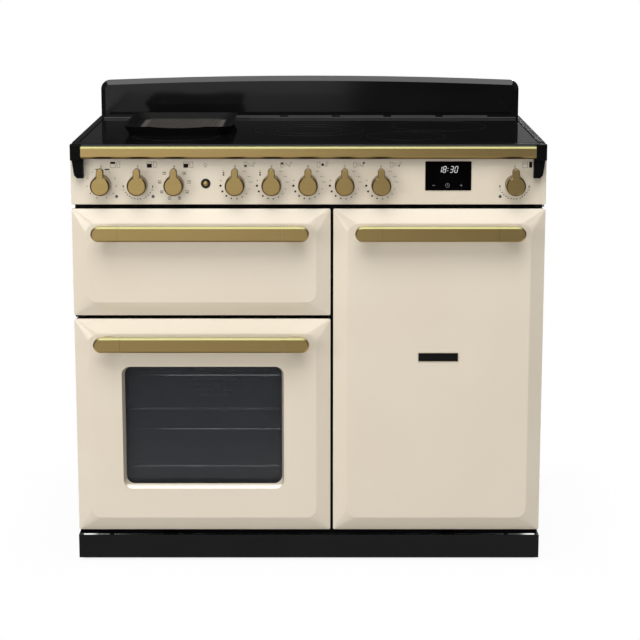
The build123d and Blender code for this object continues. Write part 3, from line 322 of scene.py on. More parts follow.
def make_brushed():
    group, start, end, place = pattern_group(
        "brushed", {"Along": 6.0, "Across": 900.0, "Low": 0.3, "High": 0.7})
    scale = group.nodes.new("ShaderNodeCombineXYZ")
    group.links.new(start.outputs["Along"], scale.inputs["X"])
    group.links.new(start.outputs["Across"], scale.inputs["Y"])
    group.links.new(start.outputs["Across"], scale.inputs["Z"])
    stretched = group.nodes.new("ShaderNodeVectorMath")
    stretched.operation = "MULTIPLY"
    group.links.new(place, stretched.inputs[0])
    group.links.new(scale.outputs[0], stretched.inputs[1])
    noise = group.nodes.new("ShaderNodeTexNoise")
    noise.inputs["Scale"].default_value = 1.0
    noise.inputs["Detail"].default_value = NOISE_DETAIL
    group.links.new(stretched.outputs[0], noise.inputs["Vector"])
    spread(group, noise.outputs[0], start, end)
    return group


def make_spangle():
    group, start, end, place = pattern_group("spangle", {"Scale": 90.0, "Low": 0.1, "High": 0.9})
    cells = group.nodes.new("ShaderNodeTexVoronoi")
    group.links.new(place, cells.inputs["Vector"])
    group.links.new(start.outputs["Scale"], cells.inputs["Scale"])
    split = group.nodes.new("ShaderNodeSeparateColor")
    group.links.new(cells.outputs["Color"], split.inputs[0])
    spread(group, split.outputs[0], start, end)
    return group


PATTERNS = {"cloud": make_cloud(), "brushed": make_brushed(), "spangle": make_spangle()}
print("patterns:", ", ".join(PATTERNS))

# %% [markdown]
# ## Finishes
#
# One function makes every finish: two close colours mixed by a pattern, a roughness that follows the same
# pattern, and a fine grain in the surface normal. Values that are the same all over sit on the shader.

# %% Finish helper
def linear(red, green, blue):
    """A display colour from 0 to 255 as the linear colour that a shader wants."""
    def one(value):
        share = value / 255
        return share / 12.92 if share <= 0.04045 else ((share + 0.055) / 1.055) ** 2.4
    return (one(red), one(green), one(blue), 1)


def place_pattern(tree, kind, **values):
    node = tree.nodes.new("ShaderNodeGroup")
    node.node_tree = PATTERNS[kind]
    for label, value in values.items():
        node.inputs[label].default_value = value
    return node.outputs["Mask"]


MIX_FIRST = 6  # a colour mix keeps its colours behind the sockets of other data types
MIX_SECOND = 7
MIX_RESULT = 2


def colour_mix(material, share, second):
    """Mixes a second colour into a finish by a share, and returns the socket of the first."""
    tree = material.node_tree
    mix = tree.nodes.new("ShaderNodeMix")
    mix.data_type = "RGBA"
    mix.inputs[MIX_SECOND].default_value = second
    tree.links.new(share, mix.inputs[0])
    tree.links.new(mix.outputs[MIX_RESULT], tree.nodes["Principled BSDF"].inputs["Base Color"])
    return mix.inputs[MIX_FIRST]


GRAIN_DEPTH = 0.2 * MM


def finish(name, colours, pattern, roughness, grain=None, bump=0.0, **fixed):
    material = bpy.data.materials.new(name)
    material.use_nodes = True
    tree = material.node_tree
    shader = tree.nodes["Principled BSDF"]
    mask = place_pattern(tree, pattern[0], **pattern[1])
    colour_mix(material, mask, colours[1]).default_value = colours[0]
    rough = tree.nodes.new("ShaderNodeMapRange")
    rough.inputs["To Min"].default_value = roughness[0]
    rough.inputs["To Max"].default_value = roughness[1]
    tree.links.new(mask, rough.inputs["Value"])
    tree.links.new(rough.outputs["Result"], shader.inputs["Roughness"])
    if grain:
        raised = tree.nodes.new("ShaderNodeBump")
        raised.inputs["Strength"].default_value = bump
        raised.inputs["Distance"].default_value = GRAIN_DEPTH
        tree.links.new(place_pattern(tree, grain[0], **grain[1]), raised.inputs["Height"])
        tree.links.new(raised.outputs["Normal"], shader.inputs["Normal"])
    for label, value in fixed.items():
        shader.inputs[label.replace("_", " ")].default_value = value
    return material


# %% [markdown]
# Enamel is glass fired on to steel: smooth, with a ripple that shows only where a lamp is mirrored in it.
# The cream of the fronts, the blacks of the frame and the speckled lining of the ovens differ in colour and
# gloss. The lip of the window gets a clear coat, because the glaze pools there, and a cream paler than the
# fronts', which is a painted highlight.

# %% Enamels
RIPPLE = ("cloud", {"Scale": 420.0})
cream_enamel = finish(
    "cream_enamel", (linear(226, 215, 196), linear(223, 211, 191)), ("cloud", {"Scale": 4.0}),
    (0.12, 0.16), RIPPLE, 0.02, Specular_IOR_Level=0.38)
# Paler than the cream of the fronts: a painted highlight on the window lip.
lip_enamel_highlight = finish(
    "lip_enamel_highlight", (linear(236, 228, 212), linear(233, 225, 208)), ("cloud", {"Scale": 4.0}),
    (0.1, 0.14), RIPPLE, 0.02, Coat_Weight=1.0, Coat_Roughness=0.05)
black_gloss = finish(
    "black_gloss", (linear(12, 12, 13), linear(16, 16, 17)), ("cloud", {"Scale": 5.0}),
    (0.06, 0.1), RIPPLE, 0.01, Specular_IOR_Level=0.23)
black_satin = finish(
    "black_satin", (linear(12, 12, 13), linear(16, 16, 17)), ("cloud", {"Scale": 6.0}),
    (0.3, 0.38), ("cloud", {"Scale": 1500.0}), 0.06, Specular_IOR_Level=0.12)
cap_black = finish(
    "cap_black", (linear(5, 5, 5), linear(8, 8, 8)), ("cloud", {"Scale": 300.0}),
    (0.4, 0.5), ("cloud", {"Scale": 1500.0}), 0.1, Specular_IOR_Level=0.06)
cavity_enamel = finish(
    "cavity_enamel", (linear(38, 39, 44), linear(150, 152, 160)),
    ("cloud", {"Scale": 900.0, "Low": 0.66, "High": 0.72}), (0.2, 0.24), RIPPLE, 0.04)
print("enamels and grounds:", len(bpy.data.materials))

# %% [markdown]
# Some finishes change along a piece: a bar's upper bevel carries a painted highlight and its lower bevel
# painted shade, and the side of a knob carries painted shade, darker than its face. The change follows the
# coordinates of the piece itself, so it moves when the piece does.

# %% Tints over a finish
def object_axis(tree, axis):
    axes = tree.nodes.new("ShaderNodeSeparateXYZ")
    tree.links.new(tree.nodes.new("ShaderNodeTexCoord").outputs["Object"], axes.inputs[0])
    return axes.outputs[axis]


def tint_where(material, share, colour):
    """Mixes another colour into a finish where a share is high."""
    tree = material.node_tree
    base = tree.nodes["Principled BSDF"].inputs["Base Color"].links[0].from_socket
    tree.links.new(base, colour_mix(material, share, colour))


# %% [markdown]
# The rail, handles and knobs are brass, brushed along the bars. Fine lines come from a noise that is
# stretched along X; they change the gloss a little and the colour hardly at all.

# %% Brass
def brushed_brass(name):
    return finish(
        name, (linear(174, 150, 98), linear(168, 143, 92)), ("brushed", {}),
        (0.28, 0.32), ("brushed", {"Across": 1400.0}), 0.02, Metallic=1.0)


BEVEL_HEIGHT = 4 * MM
BEVEL_BLEND = 1 * MM
SIDE_START = 0.3 * MM  # behind a knob's face
SIDE_END = 1.2 * MM
# Colours of painted light: a highlight for upper bevels, shade for lower bevels and for the sides of knobs.
PAINTED_HIGHLIGHT_BRASS = linear(178, 174, 120)
SHADED_BRASS = linear(140, 120, 76)
DEEP_SHADE_BRASS = linear(98, 82, 50)
SIDE_SHADE_BRASS = linear(118, 98, 60)


def bevel_shades(material, node, lower):
    """Paints a highlight on the upper bevel of a bar and shade on the lower one."""
    low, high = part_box(node)
    tree = material.node_tree
    height = object_axis(tree, "Z")
    edge = high.z - BEVEL_HEIGHT
    tint_where(material, smooth_step(tree, height, edge, edge + BEVEL_BLEND), PAINTED_HIGHLIGHT_BRASS)
    edge = low.z + BEVEL_HEIGHT
    tint_where(material, smooth_step(tree, height, edge, edge - BEVEL_BLEND), lower)
    return material


def darker_sides(material, face):
    """Paints shade on what lies behind the front face of a knob."""
    tree = material.node_tree
    depth = object_axis(tree, "Y")
    tint_where(material, smooth_step(tree, depth, face + SIDE_START, face + SIDE_END), SIDE_SHADE_BRASS)
    return material


brass = brushed_brass("brushed_brass")
# The sides of the knobs get painted shade.
knob_brass = darker_sides(brushed_brass("knob_brass"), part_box("knob_grill")[0].y)
# The rail and handles get a painted highlight on their upper bevels and painted shade on their lower ones.
rail_brass = bevel_shades(brushed_brass("rail_brass"), "hob_rail", DEEP_SHADE_BRASS)
handle_brass = bevel_shades(brushed_brass("handle_brass"), "tall_door_handle", SHADED_BRASS)
oven_handle_brass = bevel_shades(brushed_brass("oven_handle_brass"), "oven_door_handle", SHADED_BRASS)
print("brass for the badge, knobs, rail and handles")

# %% [markdown]
# Sheet that nobody sees is zinc coated, and the crystals of the zinc show as paler and darker patches. Fans
# are brushed steel, shelves are bright wire, and the coils under the hob are wound from aluminium.

# %% Steel and aluminium
zinc_steel = finish(
    "zinc_steel", (linear(172, 175, 178), linear(150, 153, 157)), ("spangle", {"Scale": 70.0}),
    (0.34, 0.5), ("cloud", {"Scale": 300.0}), 0.03, Metallic=1.0)
fan_steel = finish(
    "fan_steel", (linear(150, 150, 152), linear(128, 128, 130)), ("brushed", {"Along": 40.0}),
    (0.3, 0.42), Metallic=1.0)
chrome_wire = finish(
    "chrome_wire", (linear(172, 174, 178), linear(156, 158, 162)), ("cloud", {"Scale": 60.0}),
    (0.08, 0.16), Metallic=1.0)
coil_metal = finish(
    "coil_metal", (linear(184, 184, 186), linear(150, 120, 92)), ("brushed", {"Along": 200.0}),
    (0.35, 0.5), Metallic=1.0)
vent_steel = finish(
    "vent_steel", (linear(66, 66, 67), linear(58, 58, 59)), ("cloud", {"Scale": 30.0}),
    (0.35, 0.45), ("cloud", {"Scale": 1500.0}), 0.05)
print("sheet, wire and coil metals made")

# %% [markdown]
# The griddle is cast iron with a black seasoned skin. Its ribbed bed, a box in the middle of the piece, is
# given a paler grey than its walls.

# %% Cast iron
BED_MARGIN = 27 * MM
BED_TOP = 8.5 * MM
BED_BLEND = 3 * MM
BED_GREY = linear(85, 82, 76)

cast_iron = finish(
    "cast_iron", (linear(7, 7, 7), linear(12, 12, 11)), ("cloud", {"Scale": 260.0}),
    (0.5, 0.68), ("cloud", {"Scale": 1100.0}), 0.5, Specular_IOR_Level=0.12)
iron_low, iron_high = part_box("griddle")
iron_middle = (iron_low + iron_high) / 2
iron_half = (iron_high - iron_low) / 2
bed_centre = (iron_middle.x, iron_middle.y, iron_low.z)
bed_half = (iron_half.x - BED_MARGIN, iron_half.y - BED_MARGIN, BED_TOP)
beyond_bed = outside_box(cast_iron.node_tree, bed_centre, bed_half)
tint_where(cast_iron, smooth_step(cast_iron.node_tree, beyond_bed, BED_BLEND, -BED_BLEND), BED_GREY)
print("cast iron with a paler bed")

# %% [markdown]
# The hob is opaque black glass. The two oven panes, one behind the other, let about a fifth of the view
# through, so the shelves show faintly. Inks, seals and plastics are matt. The clock's digits shine by
# themselves, which needs emission.

# %% Glass
hob_black = finish(
    "hob_glass", (linear(14, 13, 14), linear(17, 16, 17)), ("cloud", {"Scale": 7.0}),
    (0.03, 0.06), Specular_IOR_Level=0.25)
display_black = finish(
    "display_glass", (linear(2, 2, 2), linear(4, 3, 3)), ("cloud", {"Scale": 40.0}),
    (0.12, 0.2), Specular_IOR_Level=0.04)
window_glass = finish(
    "window_glass", (linear(56, 58, 62), linear(52, 54, 58)), ("cloud", {"Scale": 6.0}),
    (0.03, 0.06), Alpha=0.32)
lamp_glass = finish(
    "lamp_glass", (linear(236, 234, 226), linear(220, 218, 210)), ("cloud", {"Scale": 200.0}),
    (0.2, 0.3), ("cloud", {"Scale": 400.0}), 0.3, Alpha=0.6)
lens_blue = finish(
    "lens_blue", (linear(62, 68, 78), linear(80, 86, 96)), ("cloud", {"Scale": 500.0}), (0.1, 0.18))
print("glass for hob, clock, window, lamp and lenses")

# %% Wool, rubber and plastic
mineral_wool = finish(
    "mineral_wool", (linear(196, 184, 150), linear(160, 146, 112)), ("cloud", {"Scale": 160.0}),
    (0.9, 1.0), ("cloud", {"Scale": 700.0}), 0.8)
seal_rubber = finish(
    "seal_rubber", (linear(26, 26, 27), linear(36, 36, 37)), ("cloud", {"Scale": 500.0}),
    (0.6, 0.75), ("cloud", {"Scale": 2200.0}), 0.3)
black_plastic = finish(
    "black_plastic", (linear(16, 16, 17), linear(22, 22, 23)), ("cloud", {"Scale": 900.0}),
    (0.4, 0.55), ("cloud", {"Scale": 2600.0}), 0.25, Specular_IOR_Level=0.25)
print("wool, rubber and plastic made")

# %% Inks and lit digits
dark_ink = finish(
    "dark_ink", (linear(14, 13, 12), linear(20, 19, 18)), ("cloud", {"Scale": 800.0}), (0.4, 0.5),
    Specular_IOR_Level=0.1)
pale_ink = finish(
    "pale_ink", (linear(118, 109, 96), linear(110, 102, 90)), ("cloud", {"Scale": 800.0}), (0.4, 0.5))
zone_ink = finish(
    "zone_ink", (linear(26, 25, 25), linear(29, 28, 28)), ("cloud", {"Scale": 300.0}), (0.3, 0.4))
lit_digit = finish(
    "lit_digit", (linear(130, 132, 134), linear(120, 122, 124)), ("cloud", {"Scale": 900.0}),
    (0.5, 0.6), Emission_Color=(0.5, 0.5, 0.5, 1), Emission_Strength=1.0)
dim_digit = finish(
    "dim_digit", (linear(96, 96, 98), linear(88, 88, 90)), ("cloud", {"Scale": 900.0}),
    (0.5, 0.6), Emission_Color=(0.07, 0.07, 0.07, 1), Emission_Strength=1.0)
print("finishes:", len(bpy.data.materials))

# %% [markdown]
# Each solid carries the name of its material slot. A table turns slots into finishes, and a shorter one names
# the solids that differ from the rest of their slot.

# %% Dress the solids
SLOT_FINISH = {
    "cream_enamel": cream_enamel,
    "black_enamel": black_gloss,
    "cavity_enamel": cavity_enamel,
    "brass": brass,
    "badge_plate": black_satin,
    "hob_glass": hob_black,
    "window_glass": window_glass,
    "lamp_glass": lamp_glass,
    "display_glass": display_black,
    "indicator_lens": lens_blue,
    "zinc_steel": zinc_steel,
    "fan_steel": fan_steel,
    "chrome_wire": chrome_wire,
    "mineral_wool": mineral_wool,
    "seal_rubber": seal_rubber,
    "cast_iron": cast_iron,
    "black_plastic": black_plastic,
    "coil_aluminium": coil_metal,
}
NODE_FINISH = {
    "plinth": black_satin,
    "side_panels": black_satin,
    "front_frame": black_satin,
    "hob_end_caps": cap_black,
    "base_tray": black_satin,
    "hob_rail": rail_brass,
    "tall_door_handle": handle_brass,
    "grill_door_handle": handle_brass,
    "oven_door_handle": oven_handle_brass,
}


def dress(node, material):
    if not node.material_slots:
        node.data.materials.append(material)
    for slot in node.material_slots:
        slot.material = material


for part in frame["record"]["subparts"]:
    name = part["node"]
    chosen = knob_brass if name.startswith("knob_") else SLOT_FINISH[part["material_slot"]]
    dress(frame["nodes"][name], NODE_FINISH.get(name, chosen))

# %% [markdown]
# ## Printing on the fascia
#
# The marks round the knobs are screen printed: ink a tenth of a millimetre thick. A picture would blur in
# a close view, so each mark is a thin solid that stands on the enamel. Outlines are drawn in the plane
# of the fascia, X to the right and Z up, and raised towards the front.

# %% Pieces
def piece_from(name, mesh, material, body):
    """Turns a finished bmesh into a piece that rides on a body."""
    data = bpy.data.meshes.new(name)
    bmesh.ops.recalc_face_normals(mesh, faces=mesh.faces)
    for face in mesh.faces:
        face.material_index = 0
    mesh.to_mesh(data)
    mesh.free()
    data.materials.append(material)
    piece = bpy.data.objects.new(name, data)
    bpy.context.scene.collection.objects.link(piece)
    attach(piece, body)
    return piece


# %% Flat marks
INK = 0.12 * MM


def raise_outline(mesh, points, wall):
    """A thin solid of an outline of (x, z) points on a wall that faces the front."""
    back = [mesh.verts.new((x, wall, z)) for x, z in points]
    front = [mesh.verts.new((x, wall - INK, z)) for x, z in points]
    mesh.faces.new(front)
    mesh.faces.new(back[::-1])
    count = len(points)
    for number in range(count):
        after = (number + 1) % count
        mesh.faces.new((back[number], back[after], front[after], front[number]))


def bar(mesh, x, z, width, height, wall):
    left = x - width / 2
    right = x + width / 2
    low = z - height / 2
    high = z + height / 2
    raise_outline(mesh, [(left, low), (right, low), (right, high), (left, high)], wall)


def dot(mesh, x, z, radius, wall, sides=20):
    turns = [2 * pi * n / sides for n in range(sides)]
    raise_outline(mesh, [(x + radius * cos(turn), z + radius * sin(turn)) for turn in turns], wall)


def stroke(mesh, start, end, thickness, wall):
    along = (Vector(end) - Vector(start)).normalized() * (thickness / 2)
    across = Vector((-along.y, along.x))
    a = Vector(start) - along
    b = Vector(end) + along
    raise_outline(mesh, [a - across, b - across, b + across, a + across], wall)


def box_line(mesh, x, z, width, height, thickness, wall):
    """An empty rectangle drawn with a thin line."""
    half_x = width / 2
    half_z = height / 2
    for side in (-1, 1):
        bar(mesh, x, z + side * half_z, width + thickness, thickness, wall)
        bar(mesh, x + side * half_x, z, thickness, height - thickness, wall)


def hoop(mesh, x, z, radius, thickness, wall, sides=28):
    """A thin ring."""
    inner = radius - thickness / 2
    outer = radius + thickness / 2
    front = wall - INK
    turns = [2 * pi * n / sides for n in range(sides)]
    loops = []
    for reach, y in ((inner, wall), (outer, wall), (outer, front), (inner, front)):
        loops.append([mesh.verts.new((x + reach * cos(turn), y, z + reach * sin(turn))) for turn in turns])
    for one, two in zip(loops, loops[1:] + loops[:1]):
        for n in range(sides):
            after = (n + 1) % sides
            mesh.faces.new((one[n], one[after], two[after], two[n]))


# %% [markdown]
# Everything on the fascia is set out from the axes of the knobs. A knob's axis lies one radius above the
# lowest point of its solid, because its pointer sticks out upwards only.

# %% Knob places
KNOBS = (
    "grill", "oven_heat", "oven_function", "hob_left_front", "hob_left_back",
    "hob_middle", "hob_right_back", "hob_right_front", "tall_heat",
)
KNOB_RADIUS = 20.4 * MM


def knob_axis(name):
    low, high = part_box("knob_" + name)
    return (low.x + high.x) / 2, low.z + KNOB_RADIUS


AXES = {name: knob_axis(name) for name in KNOBS}
print("knobs:", {name: (round(x, 4), round(z, 4)) for name, (x, z) in AXES.items()})


def on_dial(name, turn, reach):
    """The point at an angle in degrees and a distance from the axis of a knob."""
    x, z = AXES[name]
    return x + reach * cos(radians(turn)), z + reach * sin(radians(turn))


# %% [markdown]
# Dots that follow a dial are a repeat along an arc, so a small tree of geometry nodes makes them: points
# are set out by angle, and a short cylinder is put on each, growing from the first size to the last.

# %% Geometry tree helpers
def geometry_tree(name, inputs):
    tree = bpy.data.node_groups.new(name, "GeometryNodeTree")
    tree.interface.new_socket("Geometry", in_out="OUTPUT", socket_type="NodeSocketGeometry")
    for label, kind in inputs.items():
        tree.interface.new_socket(label, in_out="INPUT", socket_type=kind)
    return tree, tree.nodes.new("NodeGroupInput").outputs, tree.nodes.new("NodeGroupOutput").inputs


def between(tree, share, first, last):
    node = tree.nodes.new("ShaderNodeMapRange")
    tree.links.new(share, node.inputs["Value"])
    tree.links.new(first, node.inputs["To Min"])
    tree.links.new(last, node.inputs["To Max"])
    return node.outputs["Result"]


def vector_of(tree, x=None, y=None, z=None):
    node = tree.nodes.new("ShaderNodeCombineXYZ")
    for label, value in (("X", x), ("Y", y), ("Z", z)):
        if value is not None:
            tree.links.new(value, node.inputs[label])
    return node.outputs[0]


def close_tree(tree, instances, material, output):
    realize = tree.nodes.new("GeometryNodeRealizeInstances")
    tree.links.new(instances, realize.inputs[0])
    paint = tree.nodes.new("GeometryNodeSetMaterial")
    tree.links.new(realize.outputs[0], paint.inputs["Geometry"])
    tree.links.new(material, paint.inputs["Material"])
    tree.links.new(paint.outputs[0], output["Geometry"])


# %% Tree of marks on an arc
MARK_SIDES = 16


def make_arc_tree():
    tree, given, output = geometry_tree("marks_on_arc", {
        "Centre": "NodeSocketVector", "Radius": "NodeSocketFloat", "Count": "NodeSocketInt",
        "First Angle": "NodeSocketFloat", "Last Angle": "NodeSocketFloat",
        "First Size": "NodeSocketFloat", "Last Size": "NodeSocketFloat",
        "Thickness": "NodeSocketFloat", "Material": "NodeSocketMaterial",
    })
    points = tree.nodes.new("GeometryNodeMeshLine")
    tree.links.new(given["Count"], points.inputs["Count"])
    index = tree.nodes.new("GeometryNodeInputIndex").outputs[0]
    share = math_node(tree, "DIVIDE", index, math_node(tree, "SUBTRACT", given["Count"], 1))
    angle = between(tree, share, given["First Angle"], given["Last Angle"])
    x = math_node(tree, "MULTIPLY", given["Radius"], math_node(tree, "COSINE", angle))
    z = math_node(tree, "MULTIPLY", given["Radius"], math_node(tree, "SINE", angle))
    moved = tree.nodes.new("ShaderNodeVectorMath")
    tree.links.new(given["Centre"], moved.inputs[0])
    tree.links.new(vector_of(tree, x=x, z=z), moved.inputs[1])
    place = tree.nodes.new("GeometryNodeSetPosition")
    tree.links.new(points.outputs[0], place.inputs["Geometry"])
    tree.links.new(moved.outputs[0], place.inputs["Position"])
    size = between(tree, share, given["First Size"], given["Last Size"])
    mark = tree.nodes.new("GeometryNodeMeshCylinder")
    mark.inputs["Vertices"].default_value = MARK_SIDES
    mark.inputs["Radius"].default_value = 1.0
    mark.inputs["Depth"].default_value = 1.0
    stand = tree.nodes.new("GeometryNodeInstanceOnPoints")
    stand.inputs["Rotation"].default_value = (pi / 2, 0, 0)
    tree.links.new(place.outputs[0], stand.inputs["Points"])
    tree.links.new(mark.outputs["Mesh"], stand.inputs["Instance"])
    tree.links.new(vector_of(tree, size, size, given["Thickness"]), stand.inputs["Scale"])
    close_tree(tree, stand.outputs[0], given["Material"], output)
    return tree


# %% [markdown]
# A geometry tree works on an object, so it is lent an empty one. What it makes is copied out as a plain mesh,
# because an export knows nothing of trees, and several meshes of one finish are joined to one piece.

# %% Trees to meshes
def grow(tree, values):
    """Runs a geometry tree on an empty mesh and returns the result as a plain mesh."""
    holder = bpy.data.objects.new("holder", bpy.data.meshes.new("holder"))
    bpy.context.scene.collection.objects.link(holder)
    modifier = holder.modifiers.new("tree", "NODES")
    modifier.node_group = tree
    names = {item.name: item.identifier for item in tree.interface.items_tree if item.in_out == "INPUT"}
    for label, value in values.items():
        modifier[names[label]] = value
    evaluated = holder.evaluated_get(bpy.context.evaluated_depsgraph_get())
    mesh = bpy.data.meshes.new_from_object(evaluated)
    bpy.data.objects.remove(holder)
    return mesh


def gather(name, meshes, material, body):
    """Joins plain meshes of one finish into a piece that rides on a body."""
    joined = bmesh.new()
    for mesh in meshes:
        joined.from_mesh(mesh)
    return piece_from(name, joined, material, body)


# %% Dial dots
ARC_TREE = make_arc_tree()
DIAL_RADIUS = 30.8 * MM
HEAT_RADIUS = 31 * MM
LARGE_DOTS = (186, 233, 3, (2.4, 2.0))  # first and last angle, count, first and last radius in mm
SMALL_DOTS = (255, 341, 5, (1.6, 0.9))
HEAT_ARCS = ((186, 191), (214, 235), (257, 279), (302, 325), (348, 353))  # between the numerals
HEAT_STEP = 11  # degrees from dot to dot
HEAT_DOTS = (1.25, 1.25)
HOB_KNOBS = [name for name in KNOBS if name.startswith("hob")]
HEAT_KNOBS = ("oven_heat", "tall_heat")


def arc_marks(name, first, last, count, sizes, radius=DIAL_RADIUS):
    x, z = AXES[name]
    return grow(ARC_TREE, {
        "Centre": (x, FASCIA_FACE - INK / 2, z), "Radius": radius, "Count": count,
        "First Angle": radians(first), "Last Angle": radians(last),
        "First Size": sizes[0] * MM, "Last Size": sizes[1] * MM, "Thickness": INK, "Material": dark_ink,
    })


dots = []
for name in HOB_KNOBS:
    dots.append(arc_marks(name, *LARGE_DOTS))
    dots.append(arc_marks(name, *SMALL_DOTS))
for name in HEAT_KNOBS:
    for first, last in HEAT_ARCS:
        count = max(2, round((last - first) / HEAT_STEP) + 1)
        dots.append(arc_marks(name, first, last, count, HEAT_DOTS, HEAT_RADIUS))
gather("dial_dots", dots, dark_ink, "cabinet")
print("arcs of dots:", len(dots))

# %% [markdown]
# Numerals are text objects, which Blender fills and thickens by itself. Each is turned upright, moved to its
# place and joined to one mesh.

# %% Numerals
FONT_SHARE = 1.4  # text size for a numeral one unit high
FONT_WEIGHT = 0.015  # how far the outline is pushed out, as a share of the height
FONT_STEPS = 3


def numeral(mesh, text, x, z, height):
    """Adds numerals, centred on a point of the fascia."""
    curve = bpy.data.curves.new("numeral", "FONT")
    curve.body = text
    curve.size = height * FONT_SHARE
    curve.extrude = INK / 2
    curve.offset = height * FONT_WEIGHT
    curve.align_x = "CENTER"
    curve.align_y = "CENTER"
    curve.resolution_u = FONT_STEPS
    holder = bpy.data.objects.new("numeral", curve)
    bpy.context.scene.collection.objects.link(holder)
    flat = bpy.data.meshes.new_from_object(holder.evaluated_get(bpy.context.evaluated_depsgraph_get()))
    upright = Euler((pi / 2, 0, 0)).to_matrix().to_4x4()
    flat.transform(Matrix.Translation((x, FASCIA_FACE - INK / 2, z)) @ upright)
    mesh.from_mesh(flat)
    bpy.data.objects.remove(holder)


# %% Dial numerals
ZERO_RISE = 37.0 * MM
ZERO_HEIGHT = 4.4 * MM
LEVEL_HEIGHT = 3.6 * MM
GRILL_LEVELS = 5
LEVEL_START = 4  # degrees from the top
LEVEL_STEP = 31.3
HEAT_NUMERALS = (("50", 202), ("100", 245), ("150", 293), ("200", 338))  # text and angle
HEAT_NUMERAL_REACH = 32 * MM
HEAT_NUMERAL_HEIGHT = 2.2 * MM

numerals = bmesh.new()
for x, z in AXES.values():
    numeral(numerals, "0", x, z + ZERO_RISE, ZERO_HEIGHT)
for number in range(1, GRILL_LEVELS + 1):
    for side in (-1, 1):
        turn = 90 + side * (LEVEL_START + LEVEL_STEP * number)
        numeral(numerals, str(number), *on_dial("grill", turn, DIAL_RADIUS), LEVEL_HEIGHT)
for name in HEAT_KNOBS:
    for text, turn in HEAT_NUMERALS:
        numeral(numerals, text, *on_dial(name, turn, HEAT_NUMERAL_REACH), HEAT_NUMERAL_HEIGHT)
piece_from("dial_numerals", numerals, dark_ink, "cabinet")
print("numerals set on", len(AXES), "dials")

# %% [markdown]
# The small maps beside the knobs show which oven or which cooking zone a knob works: outlines in thin pale
# lines, with the zone itself filled in. Thin lines and filled marks are two meshes, one for each ink.

# %% Oven maps
bold = bmesh.new()
thin = bmesh.new()
HAIRLINE = 0.7 * MM
MAP_RISE = 40.9  # mm from the axis to the middle of a map
# middle across from the map's left edge, middle up from the axis, width and height, in mm
OVEN_CELLS = {
    "top": (5.2, 44.9, 10.2, 4.2),
    "bottom": (5.2, 38.7, 10.2, 8.0),
    "right": (16.8, MAP_RISE, 6.2, 12.2),
}


def oven_map(name, filled, shift):
    """Two stacked boxes for the left ovens and a tall one for the right, one of them filled."""
    x, z = AXES[name]
    for cell, sizes in OVEN_CELLS.items():
        across, up, width, height = (size * MM for size in sizes)
        middle = x + shift * MM + across
        if cell == filled:
            bar(bold, middle, z + up, width, height, FASCIA_FACE)
        else:
            box_line(thin, middle, z + up, width, height, HAIRLINE, FASCIA_FACE)


for name, filled, shift in (
    ("grill", "top", 19.2), ("oven_heat", "bottom", 19.2),
    ("oven_function", "bottom", 19.2), ("tall_heat", "right", 15.8),
):
    oven_map(name, filled, shift)
print("oven maps drawn")

# %% Hob maps
# middle across and up from the axis and radius, in mm
HOB_ZONES = {
    "hob_left_front": (22.0, 38.7, 1.9), "hob_left_back": (22.0, 43.2, 1.9),
    "hob_middle": (30.5, MAP_RISE, 2.9),
    "hob_right_back": (40.0, 44.5, 2.2), "hob_right_front": (37.4, 38.9, 1.9),
}
BRIDGE_SHIFT = 22.0 * MM
BRIDGE_SIZE = (6.0 * MM, 10.0 * MM)
BRIDGE_MARK = (4.4 * MM, 3.8 * MM)


def hob_map(name):
    """A bridged pair, a middle ring and two right rings, with this knob's zone filled."""
    x, z = AXES[name]
    box_line(thin, x + BRIDGE_SHIFT, z + MAP_RISE * MM, *BRIDGE_SIZE, HAIRLINE, FASCIA_FACE)
    for zone, (across, up, radius) in HOB_ZONES.items():
        place = (x + across * MM, z + up * MM)
        if zone == name and zone.startswith("hob_left"):
            bar(bold, *place, *BRIDGE_MARK, FASCIA_FACE)
        elif zone == name:
            dot(bold, *place, radius * MM, FASCIA_FACE)
        elif not zone.startswith("hob_left"):
            hoop(thin, *place, radius * MM, HAIRLINE, FASCIA_FACE)


for name in HOB_KNOBS:
    hob_map(name)
print("maps beside", len(HOB_KNOBS), "hob knobs")

# %% [markdown]
# Three bars, one thin and two thick, stand over the pointer of the grill's dial. Each hob dial starts with a
# dot and ends in three waves of steam for gentle heat; the left zones add two squares and a plus for extra
# power.

# %% Dial pictograms
GRILL_BARS_RISE = 31 * MM
GRILL_BARS = ((-12.4, 3.7, 0.7), (-7.4, 6.2, 2.4), (12.2, 10.1, 2.4))  # middle, width and height in mm
WAVE_RISE = 0.9 * MM
WAVE_STEPS = 6
FIRST_DOT_TURN = 165
FIRST_DOT = 1.1 * MM
STEAM_REACH = 33 * MM
STEAM_MARKS = ((55, 6.0), (29, 7.0), (8, 8.0))  # angle and width in mm
BOOST_SHIFT = 24 * MM
BOOST_SQUARES = ((19.7, 3.2), (24.3, 3.0))  # height over the axis and size in mm
PLUS_RISE = 28.9 * MM
PLUS_HEIGHT = 2.6 * MM


def steam(x, z, width):
    """A small wave."""
    points = []
    for n in range(WAVE_STEPS + 1):
        points.append((x + width * (n / WAVE_STEPS - 0.5), z + WAVE_RISE * sin(n * pi / 2)))
    for one, two in zip(points, points[1:]):
        stroke(thin, one, two, HAIRLINE, FASCIA_FACE)


def boost_sign(name):
    x, z = AXES[name]
    for rise, size in BOOST_SQUARES:
        bar(bold, x - BOOST_SHIFT, z + rise * MM, size * MM, size * MM, FASCIA_FACE)
    numeral(bold, "+", x - BOOST_SHIFT, z + PLUS_RISE, PLUS_HEIGHT)


